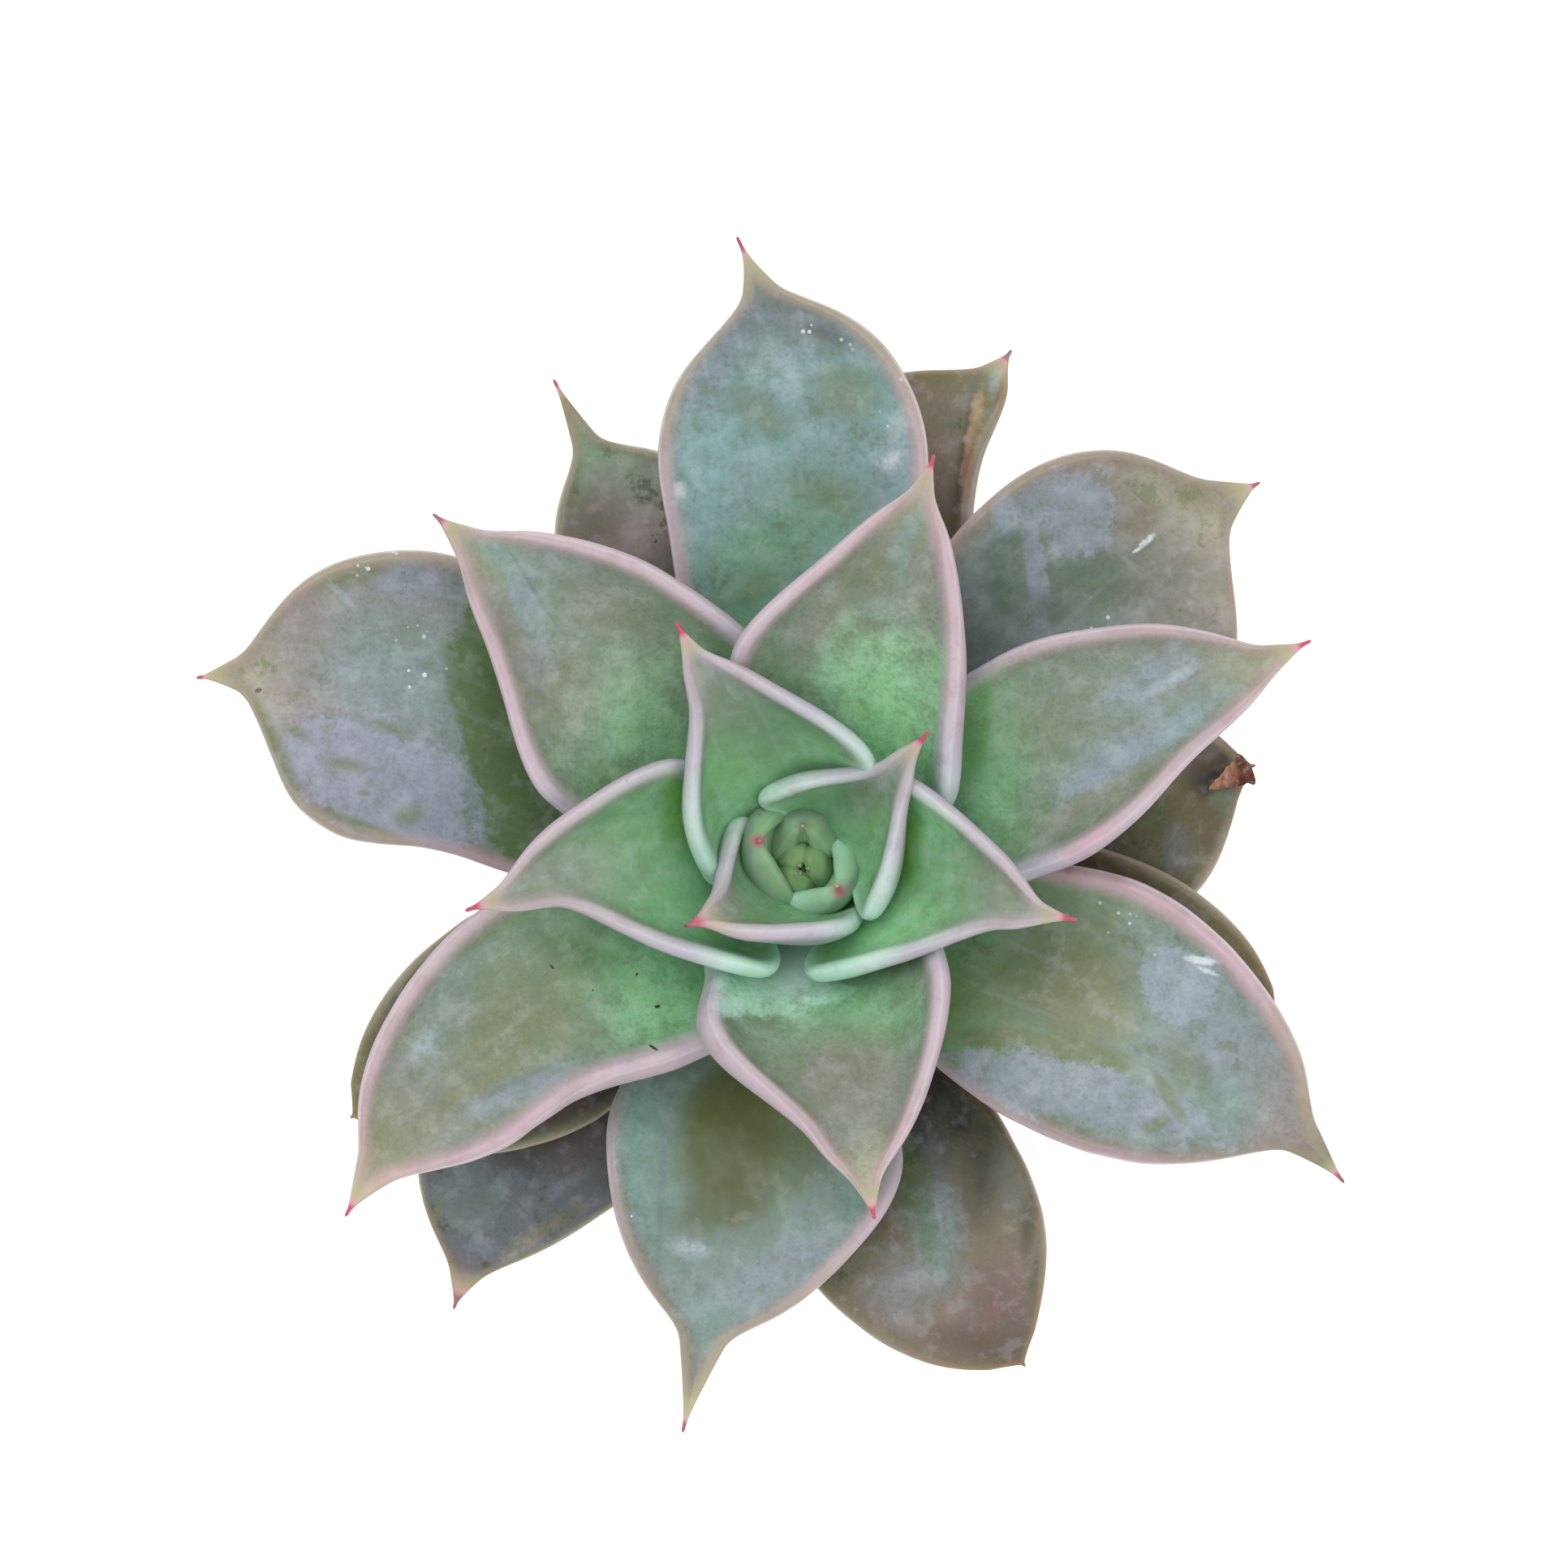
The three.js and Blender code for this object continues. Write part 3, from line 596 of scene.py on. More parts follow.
# How each tier is painted. flesh, under, band: the tones of the upper side, the underside and the margin at shares
# of the way from foot to tip. flush: tone, width and weight of the blush inside the margin. bloom: tone and weight of
# the waxy bloom. worn: tone and weight of small rubbed spots. rim: width of the margin's band, left and right.
# tip: how far the red, pink and pale parts of the point reach, in millimetres. rough: roughness of the skin.
tiers = {
    "young": {"flesh": {0: "spring", 0.3: "brightGreen", 0.6: "leafGreen", 0.85: "sage", 1: "dust"},
        "under": {0: "mint", 0.45: "sage", 1: "mauve"},
        "band": {0: "mint", 0.36: "mint", 0.5: "mintWhite", 0.64: "lilac", 0.85: "rose", 1: "blush"},
        "flush": ("dust", 4.5, 0.55), "bloom": ("mist", 0.12), "worn": ("leafGreen", 0.0), "wash": 0.65,
        "rim": (0.5, 0.5), "fade": 2.4, "grain": 0.12, "tip": (2.2, 3.4, 6.0), "rough": 0.46},
    "grown": {"flesh": {0: "spring", 0.25: "brightGreen", 0.5: "sage", 0.8: "dust", 1: "straw"},
        "under": {0: "sage", 0.5: "mauve", 1: "taupe"},
        "band": {0: "mint", 0.3: "mintWhite", 0.42: "lilac", 0.55: "rose", 0.85: "blush", 1: "dustTan"},
        "flush": ("taupe", 4.0, 0.5), "bloom": ("fog", 0.3), "worn": ("olive", 0.0), "wash": 0.4, "rim": (0.8, 0.8),
        "fade": 2.0, "tip": (1.8, 2.8, 6.0), "rough": 0.42},
    "outer": {"flesh": {0: "moss", 0.3: "seaGreen", 0.6: "fog", 0.85: "mauve", 1: "straw"},
        "under": {0: "sage", 0.5: "mauve", 1: "taupe"},
        "band": {0: "blush", 0.45: "blush", 0.7: "dustTan", 0.9: "dustTan", 1: "reed"},
        "flush": ("taupe", 4.5, 0.75), "bloom": ("haze", 0.35), "worn": ("olive", 0.45), "rim": (0.8, 0.8),
        "fade": 1.7, "tip": (1.2, 2.2, 5.0), "tipTone": "brick", "rough": 0.38},
    "old": {"flesh": {0: "bark", 0.4: "bark", 0.65: "umber", 0.85: "bronze", 1: "umber"},
        "under": {0: "moss", 0.5: "plum", 1: "umber"},
        "band": {0: "plum", 0.5: "taupe", 0.8: "dustTan", 1: "cinnamon"}, "flush": ("bronze", 4.0, 0.5),
        "bloom": ("slate", 0.18), "worn": ("shade", 0.5), "rim": (0.6, 0.6), "tip": None, "rough": 0.42,
        "streak": 0.0, "crest": 0.1},
}
tiers["heart"] = {**tiers["young"], "flesh": {0: "fresh", 0.5: "budGreen", 1: "budGreen"},
    "under": {0: "mint", 0.6: "budGreen", 1: "budGreen"}, "flush": ("fresh", 1.0, 0.2), "tip": None, "crest": 0.12}
tiers["bud"] = {**tiers["young"], "flesh": {0: "fresh", 0.6: "budGlow", 1: "budGlow"},
    "band": {0: "oliveBrown", 1: "oliveBrown"}, "flush": ("fresh", 1.0, 0.0), "tip": None, "rim": (0.1, 0.1),
    "bloom": ("mist", 0.0), "wash": 0.0, "under": {0: "fresh", 0.5: "budGlow", 1: "budGlow"}, "fade": 0.25,
    "over": 0.3, "crest": 0.0}

# What sets single leaves apart. level: about how high the blade lies. patches: tone, middle in the picture, half
# sizes in millimetres and weight, then turn, softness and gloss, which are 0, 0.9 and 0 where they are left out.
# late: the same, but over everything else. dewGlints: middle, half sizes and turn of the places with painted
# glints of dewdrops.
looks = {
    "01": {"band": {0: "budGreen", 1: "budGreen"}, "rim": (0.4, 0.4), "level": 110,
        "late": [("taupe", 990, 1018, 1.1, 0.8, 0.55), ("pink", 990, 1019, 0.5, 0.4, 0.4)]},
    "02": {"under": {0: "mint", 0.6: "fresh", 1: "fresh"}, "flesh": {0: "fresh", 0.5: "fresh", 1: "fresh"},
        "band": {0: "mint", 0.6: "mint", 1: "fresh"}, "rim": (0.6, 0.6), "level": 112, "wash": 0.3,
        "late": [("pink", 1035, 1098, 1.3, 1.1, 0.6, 30), ("rouge", 1035, 1098, 0.8, 0.7, 0.8)]},
    "03": {"band": {0: "mint", 0.6: "budGreen", 1: "budGreen"}, "rim": (0.6, 0.6), "level": 114, "wash": 0.3,
        "late": [("pink", 934, 1036, 1.2, 1, 0.6), ("rouge", 934, 1036, 0.8, 0.7, 0.8)]},
    "04": {"level": 118,
        "patches": [("dust", 1095, 950, 6, 3, 0.6, 40), ("pine", 1058, 983, 6.5, 2.8, 0.6, 25)]},
    "05": {"level": 120, "tip": (3.0, 4.4, 6.5), "tipTone": "rouge",
        "patches": [("mauve", 885, 1115, 4, 4, 0.5)],
        "late": [("umber", 844, 1142, 0.7, 0.5, 0.9, 20, 0.7)]},
    "06": {"level": 120,
        "patches": [("dust", 862, 830, 5, 7, 0.5, 20), ("leafGreen", 930, 950, 4, 7, 0.5, 10),
            # the slateGreen and pine patches are painted shade on the leaf's left inner face
            ("slateGreen", 897, 862, 6, 5, 0.6, -40), ("pine", 955, 903, 6, 4, 0.4, -35)]},
    "07": {"level": 119,
        "band": {0: "mint", 0.38: "mint", 0.46: "mintWhite", 0.54: "lilac", 0.8: "rose", 1: "blush"},
        # painted shade: the lime band beside leaf 04's margin; painted light: the spring patches, over places shaded
        # by leaf 04 and between the ears
        "patches": [("spring", 1150, 1005, 3, 6, 0.8, -8), ("lime", 1121, 1045, 1.6, 6.5, 0.85, -4),
            ("spring", 1080, 1145, 8, 4.4, 0.95, 20), ("dust", 1240, 1090, 8, 5, 0.65, -10),
            ("leafGreen", 1160, 1095, 5, 7, 0.5)]},
    "08": {"level": 121,
        "band": {0: "mint", 0.32: "mint", 0.38: "mintWhite", 0.46: "lilac", 0.7: "rose", 1: "blush"},
        # the lime band is painted shade beside leaf 06's ear
        "patches": [("lime", 832, 992, 2, 5.5, 0.85, 5), ("dust", 700, 1080, 11, 5, 0.6, 12),
            ("leafGreen", 780, 1040, 6, 6, 0.5)]},
    "09": {"level": 117, "rim": (1.2, 2),
        # the spring patch is painted light on the leaf's shaded foot
        "patches": [("spring", 1095, 870, 9, 11, 0.9), ("oliveGreen", 1075, 705, 5, 4, 0.6, 20, 0.8),
            ("teal", 1120, 665, 6.5, 2, 0.6, 72, 0.8, 0.1), ("dust", 1150, 740, 4, 6, 0.5),
            ("mauve", 1010, 760, 2.5, 6, 0.4, -35, 0.8), ("teal", 1060, 620, 5, 2.5, 0.4, 60)]},
    "10": {"level": 118, "rim": (1.2, 0.7),
        # the deepGreen patch at 1125, 1184 is painted shade under leaf 07
        "patches": [("brightGreen", 1050, 1250, 10, 5, 0.6, 5, 0.8), ("deepGreen", 1125, 1184, 5, 2, 0.3, 22, 0.6),
            ("mint", 930, 1232, 8, 3, 0.6, -4, 0.4), ("mintWhite", 900, 1240, 2.4, 1.4, 0.5, 10, 0.6),
            # the mintWhite patch at 979, 1196 is mint flesh, painted paler to light the deep gap between the ears of
            # leaves 07 and 08: partly painted light
            ("mint", 1022, 1226, 4, 1.6, 0.5, -4, 0.4), ("mintWhite", 979, 1196, 5, 4.4, 0.95),
            ("leafGreen", 1090, 1225, 4, 2, 0.35, 10), ("mauveBrown", 1041, 1322, 7.5, 6, 0.75),
            ("straw", 1073, 1435, 3, 6, 0.3)],
        # the late mintWhite patch is painted light in that same deep gap
        "late": [("mintWhite", 979, 1186, 6, 5, 0.85)]},
    "11": {"level": 120, "tipTone": "rosewood", "rim": (1.4, 1.3),
        "flesh": {0: "grass", 0.3: "leafGreen", 0.5: "sage", 0.8: "fog", 1: "straw"},
        "patches": [("spring", 780, 900, 10, 8, 0.6, -35), ("mauveBrown", 690, 850, 8, 6.5, 0.6, -40),
            ("mauveBrown", 745, 745, 7, 4, 0.5, -30), ("taupe", 610, 740, 12, 1.6, 0.5, -67, 0.7),
            ("steel", 645, 745, 9, 1.3, 0.45, -64), ("slate", 655, 800, 7, 1.4, 0.5, -80),
            ("slate", 655, 722, 6, 0.3, 0.7, -58, 0.6), ("seaGreen", 600, 665, 6, 3, 0.6, -50, 0.8)]},
    "12": {"level": 117, "rim": (0.5, 1.0),
        "patches": [("brightGreen", 1222, 945, 6, 12, 0.6, -4, 0.8), ("grass", 1204, 885, 2.2, 9, 0.6, -2, 0.5),
            ("mauveBrown", 1290, 890, 8, 6, 0.35, 20), ("mauve", 1330, 1000, 12, 3, 0.4, 36),
            ("steel", 1393, 928, 13, 1.6, 0.85, 32, 0.5), ("haze", 1370, 925, 11, 3, 0.5, 34),
            # the mist patch at 1450, 834 is a painted highlight
            ("steel", 1420, 838, 9, 3, 0.6, 28), ("mist", 1450, 834, 5, 0.8, 0.6, 28, 0.8, 0.1),
            ("seaGreen", 1480, 870, 8, 3, 0.4, 40)],
        "late": [("pink", 1342, 1037, 4.5, 1, 0.4, 35)]},
    "13": {"level": 114, "rim": (2.2, 1.1),
        "band": {0: "mint", 0.2: "mintWhite", 0.34: "rose", 0.85: "blush", 1: "tan"},
        "patches": [("spring", 798, 1228, 8, 7, 0.6), ("deepGreen", 700, 1173, 7, 2.6, 0.6, -25, 0.7),
            ("khaki", 640, 1262, 10, 8, 0.65, 30), ("fog", 555, 1240, 9, 3.5, 0.7, 65, 0.8),
            ("khaki", 560, 1360, 8, 2, 0.5, 35), ("haze", 650, 1340, 10.5, 1.8, 0.75, 21, 0.8),
            # the mist patch at 523, 1288 is a painted highlight
            ("slate", 640, 1330, 8, 0.5, 0.6, 25, 0.8), ("mist", 523, 1288, 2.6, 1.3, 0.7, 60, 0.9, 0.15),
            ("khaki", 480, 1400, 8, 6, 0.5, 40)],
        "late": [("shade", 678, 1193, 0.4, 0.16, 0.9, -50, 0.3), ("shade", 782, 1204, 0.28, 0.14, 0.9, 60, 0.3),
            ("shade", 808, 1244, 0.4, 0.22, 0.9, 10, 0.3), ("shade", 804, 1293, 0.7, 0.16, 0.9, -30, 0.3)]},
    "14": {"level": 110, "rim": (1.0, 1.6), "tip": (2.2, 3.4, 8.0), "worn": ("oliveGreen", 0.3),
        "bloom": ("slate", 0.25), "band": {0: "rose", 0.4: "rose", 0.6: "blush", 0.78: "dustTan", 1: "reed"},
        "flush": ("mauve", 4, 0.6), "dewGlints": [(1010, 415, 4.5, 1.4, -22), (1098, 520, 1.6, 6, -15)],
        "flesh": {0: "grass", 0.3: "brightGreen", 0.46: "aqua", 0.7: "aqua", 0.88: "slate", 1: "oliveGreen"},
        "patches": [("leafGreen", 925, 700, 9, 6, 0.5, 30, 0.8), ("oliveGreen", 930, 724, 4, 2, 0.5, 30, 0.7),
            ("leafGreen", 990, 640, 9, 7, 0.45, 20), ("oliveGreen", 1024, 608, 6, 3, 0.65, -20),
            ("oliveGreen", 935, 510, 5, 2.4, 0.6, -35), ("olive", 1040, 490, 5, 4, 0.6, 0, 0.8),
            ("umber", 1012, 414, 4.4, 1.2, 0.4, -22, 0.9, 0.2), ("mist", 955, 450, 4, 3, 0.35, 10),
            # painted highlights: the mist patch at 1104, 530 and the shine patches here and on the last line of this
            # list
            ("mist", 1104, 530, 3.5, 1.4, 0.7, 60, 0.8, 0.1), ("shine", 1098, 568, 1.7, 1.1, 0.75, 45, 0.9, 0.15),
            ("haze", 875, 452, 7, 2.4, 0.6, 62), ("haze", 1090, 600, 3, 6, 0.4, -15),
            ("shine", 838, 604, 1, 1, 0.5, 0, 0.9, 0.1)]},
    "15": {"level": 110, "rim": (2.4, 0.6), "tip": (1.8, 2.6, 4.0),
        "band": {0: "rose", 0.3: "blush", 0.7: "blush", 0.85: "dustTan", 1: "khaki"},
        "dewGlints": [(1210, 1120, 3, 2, 0), (1380, 1150, 8, 3, -25)],
        "flesh": {0: "grass", 0.3: "leafGreen", 0.5: "sage", 0.75: "fog", 0.9: "mauve", 1: "olive"},
        "patches": [("khaki", 1205, 1220, 10, 7, 0.5), ("oliveGreen", 1305, 1190, 9, 10, 0.8, -20, 0.5),
            ("khaki", 1345, 1225, 7, 9, 0.7, -20, 0.6), ("olive", 1295, 1297, 11, 2.2, 0.8, -9, 0.2),
            ("haze", 1330, 1350, 17, 3.8, 0.85, -13, 0.2), ("steel", 1449, 1214, 4.6, 5.6, 0.85, 25, 0.15),
            ("mist", 1470, 1205, 3.4, 3, 0.5, 0, 0.9, 0.1), ("haze", 1500, 1270, 5, 8, 0.5, 28),
            ("oliveGreen", 1465, 1315, 5, 3, 0.6, -50, 0.5), ("olive", 1440, 1350, 4, 1, 0.7, -60, 0.4),
            ("olive", 1423, 1386, 2.4, 1, 0.6, 20, 0.4), ("seaGreen", 1510, 1360, 5, 5, 0.5, 20),
            # painted highlights: these two shine patches
            ("shine", 1477, 1183, 1.9, 0.5, 0.9, -8, 0.6, 0.2),
            ("shine", 1486, 1196, 1.4, 0.3, 0.7, -20, 0.7, 0.2)]},
    "16": {"level": 109, "rim": (1, 1.3), "tip": (0.8, 1.8, 5.0), "bloom": ("haze", 0.2),
        "dewGlints": [(462, 703, 5, 2.2, 20), (498, 760, 2.6, 7, 14), (510, 828, 4.5, 3.2, 0)],
        "patches": [("seaGreen", 440, 800, 14, 8, 0.5, -20), ("steel", 460, 850, 10, 6, 0.4, -20),
            ("lilacBlue", 464, 962, 14, 8, 0.7, -27, 0.15), ("haze", 506, 710, 7, 4.5, 0.75, 0, 0.7),
            # the moss band at 626, 935 is a painted shadow cast by leaf 11
            ("moss", 626, 935, 19, 5.4, 0.9, -76, 0.12), ("olive", 340, 925, 9, 1.6, 0.7, -66, 0.6),
            ("olive", 455, 1022, 7, 1, 0.7, -22, 0.5), ("olive", 428, 941, 3.2, 1.1, 0.7, -10),
            ("olive", 449, 977, 1, 0.5, 0.7, 0, 0.7), ("olive", 368, 902, 2.6, 0.9, 0.6, -30),
            ("olive", 503, 1004, 2.4, 1.6, 0.6, 20, 0.6), ("olive", 474, 896, 4.6, 0.9, 0.6, -16),
            ("moss", 560, 850, 1.2, 6, 0.6, 12, 0.6), ("mauve", 360, 770, 8, 6, 0.6, 35),
            ("olive", 445, 704, 6, 2, 0.7, 20, 0.5), ("umber", 320, 851, 0.5, 0.3, 0.9, 20, 0.3),
            # the steel patch at 425, 735 is a painted highlight
            ("steel", 425, 735, 2.4, 0.5, 0.7, -45, 0.6, 0.15)]},
    "17": {"level": 105, "rim": (0.9, 0.8),
        "flesh": {0: "seaGreen", 0.4: "slate", 0.6: "fog", 0.8: "mauveBrown", 1: "straw"},
        "dewGlints": [(1337, 764, 4, 2.6, 0), (1410, 672, 3, 1.6, 30)], "bloom": ("haze", 0.2),
        "patches": [("slateGreen", 1360, 705, 15, 5, 0.75, 0, 0.6), ("fog", 1290, 640, 7, 6, 0.5),
            ("haze", 1335, 630, 5.2, 5, 0.75, -15, 0.16), ("pine", 1350, 706, 7, 1.8, 0.55, 6, 0.8),
            ("haze", 1285, 610, 4, 2.6, 0.6, 40, 0.3), ("steel", 1237, 632, 1.6, 3.4, 0.7, 10, 0.5),
            ("haze", 1279, 716, 1.4, 8, 0.8, 8, 0.3), ("oliveBrown", 1405, 640, 4, 2.4, 0.7, 30, 0.5),
            ("pine", 1240, 730, 2.6, 4.6, 0.8, 0, 0.6), ("pine", 1240, 670, 3, 1.4, 0.7, 30, 0.6),
            ("slateGreen", 1300, 750, 3, 2, 0.7, 0, 0.6), ("mauve", 1470, 690, 9, 9, 0.35),
            # painted highlights: the two shine patches at the end of this list
            ("oliveBrown", 1480, 615, 7, 2, 0.6, -20), ("shine", 1413, 667, 1.7, 0.6, 0.95, 38, 0.5, 0.25),
            ("shine", 1404, 676, 1.2, 0.3, 0.8, 30, 0.5, 0.25)]},
    "18": {"level": 102, "streak": 0.04, "rim": (1.9, 0.8), "tip": (1.6, 2.8, 6.0), "worn": ("olive", 0.3),
        "band": {0: "fog", 0.35: "fog", 0.55: "rose", 0.8: "dustTan", 1: "straw"},
        "dewGlints": [(780, 1498, 1.4, 1.4, 0)],
        # the bark at the foot of the flesh and the bark patch at 932, 1342 are painted shade under leaf 10
        "flesh": {0: "bark", 0.25: "moss", 0.5: "seaGreen", 0.75: "fog", 0.9: "fog", 1: "straw"},
        "patches": [("teal", 800, 1430, 4.6, 11, 0.7, 4, 0.3), ("oliveBronze", 905, 1415, 9, 13, 0.75),
            ("oliveBronze", 892, 1480, 7, 4, 0.7, 20, 0.4), ("bark", 932, 1342, 8, 4, 0.7, 15),
            ("oliveGreen", 975, 1395, 6, 9.5, 0.85, 20, 0.6), ("haze", 978, 1556, 9, 3, 0.7, 24, 0.8),
            ("fog", 1020, 1480, 3, 6, 0.6, -20, 0.8), ("slate", 815, 1470, 0.5, 11, 0.5, -3, 0.6),
            # the mist patch at 850, 1538 is a painted highlight
            ("mist", 850, 1538, 2.4, 1.2, 0.8, -15, 0.9, 0.2), ("seaGreen", 880, 1620, 5, 5, 0.5)],
        "late": [("oliveBronze", 903, 1400, 7, 10.5, 0.75, -14, 0.4)]},
    "19": {"level": 101, "flesh": {0: "umber", 0.5: "bark", 0.68: "mauve", 0.84: "sage", 1: "sage"},
        "tip": (1, 2, 3), "tipTone": "brick",
        "patches": [("umber", 730, 640, 5, 6, 0.6), ("sage", 712, 540, 4, 5, 0.5)]},
    "21": {"flesh": {0: "bark", 0.5: "bark", 0.8: "plum", 1: "bronze"}, "flush": ("olive", 3, 0.8)},
    "22": {"level": 95, "flesh": {0: "shade", 0.4: "umber", 0.75: "taupe", 0.9: "oliveBrown", 1: "sage"},
        "tip": (1.6, 3, 5), "tipTone": "rosewood",
        "patches": [("bronze", 1160, 462, 7, 2, 0.7, 0, 0.8), ("shade", 1190, 560, 1.1, 10, 0.8, -9),
            ("cinnamon", 1198, 545, 1.2, 8, 0.8, -9, 0.25), ("straw", 1201, 520, 0.8, 5, 0.5, -10, 0.8),
            ("huskDark", 1196, 570, 0.5, 6, 0.4, -8), ("sage", 1213, 545, 1.1, 8, 0.6, -9, 0.4),
            ("shell", 1194, 622, 0.9, 2, 0.55), ("bronze", 1219, 500, 1.2, 1, 0.7, 0, 0.6),
            ("mist", 1228, 468, 1, 1.8, 0.5, -10, 0.9, 0.1)]},
    "23": {"level": 92, "flesh": {0: "shade", 0.5: "shade", 0.68: "oliveBrown", 0.84: "taupe", 1: "umber"},
        "patches": [("slate", 1158, 1475, 2.8, 11, 0.6, 6, 0.8), ("seaGreen", 1152, 1525, 3.6, 6, 0.6, 10),
            ("haze", 1162, 1500, 1.1, 5, 0.5, 12), ("mist", 1158, 1502, 0.4, 3, 0.3, 14),
            ("shade", 1212, 1430, 3, 9, 0.75, -8), ("deepGreen", 1118, 1450, 2.8, 7, 0.5, 14),
            ("slate", 1243, 1455, 2.6, 5, 0.4, 16, 0.8), ("haze", 1110, 1590, 5, 5, 0.5),
            ("plum", 1225, 1610, 4, 5, 0.7), ("rosewood", 1222, 1620, 2, 3.4, 0.4),
            ("shade", 1266, 1510, 1, 5, 0.5, -4), ("umber", 1190, 1650, 8, 2.4, 0.6, -8)]},
    "25": {"level": 88, "flesh": {0: "shade", 0.5: "bark", 0.8: "bronze", 1: "umber"},
        "flush": ("dustTan", 3.4, 0.75),
        "patches": [("slate", 1450, 1042, 2.4, 3.4, 0.6, 20, 0.7), ("moss", 1418, 1010, 3, 3, 0.6),
            ("bronze", 1465, 965, 3, 4, 0.7, 30), ("plum", 1480, 938, 2.6, 2, 0.7, 30),
            # the shade patch at 1498, 962 is a painted shadow under the curled dried tip
            ("shade", 1498, 962, 3.4, 2, 0.9, 20), ("sage", 1512, 982, 2.2, 1.8, 0.7, 40),
            ("shade", 1432, 1085, 4, 2, 0.5, -20), ("slate", 1440, 1062, 1.6, 1, 0.6, 0, 0.8)]},
    "26": {"level": 85, "flesh": {0: "shade", 0.5: "bark", 0.72: "slateBlue", 0.88: "slateBlue", 1: "rosewood"},
        "tip": (2.4, 4, 6), "tipTone": "rosewood", "flush": ("olive", 1.6, 0.6),
        "patches": [("slate", 572, 1478, 5, 5.5, 0.8, 60, 0.2), ("slate", 605, 1468, 1.8, 4, 0.4, 16, 0.8),
            ("bark", 650, 1420, 5, 3, 0.6, 20), ("plum", 700, 1425, 5, 3.4, 0.6, 25),
            ("haze", 700, 1458, 3.8, 0.9, 0.5, 28), ("khaki", 672, 1513, 6.5, 1.2, 0.65, 30, 0.7),
            ("dustTan", 648, 1537, 4, 0.9, 0.4, 30), ("umber", 598, 1559, 0.7, 0.5, 0.9, 20, 0.6),
            ("khaki", 536, 1500, 1, 4, 0.6, -20, 0.8)]},
}

# Scales of the skin's noises, the higher the finer. streak: scales along and across. bump: its depth in millimetres.
skinGrain = {"cloud": 95.0, "blotch": 330.0, "grain": 1700.0, "specks": 260.0, "dewGlints": 820.0, "lumps": 160.0,
             "streak": (0.07, 0.6, 0.0), "bump": 0.5}


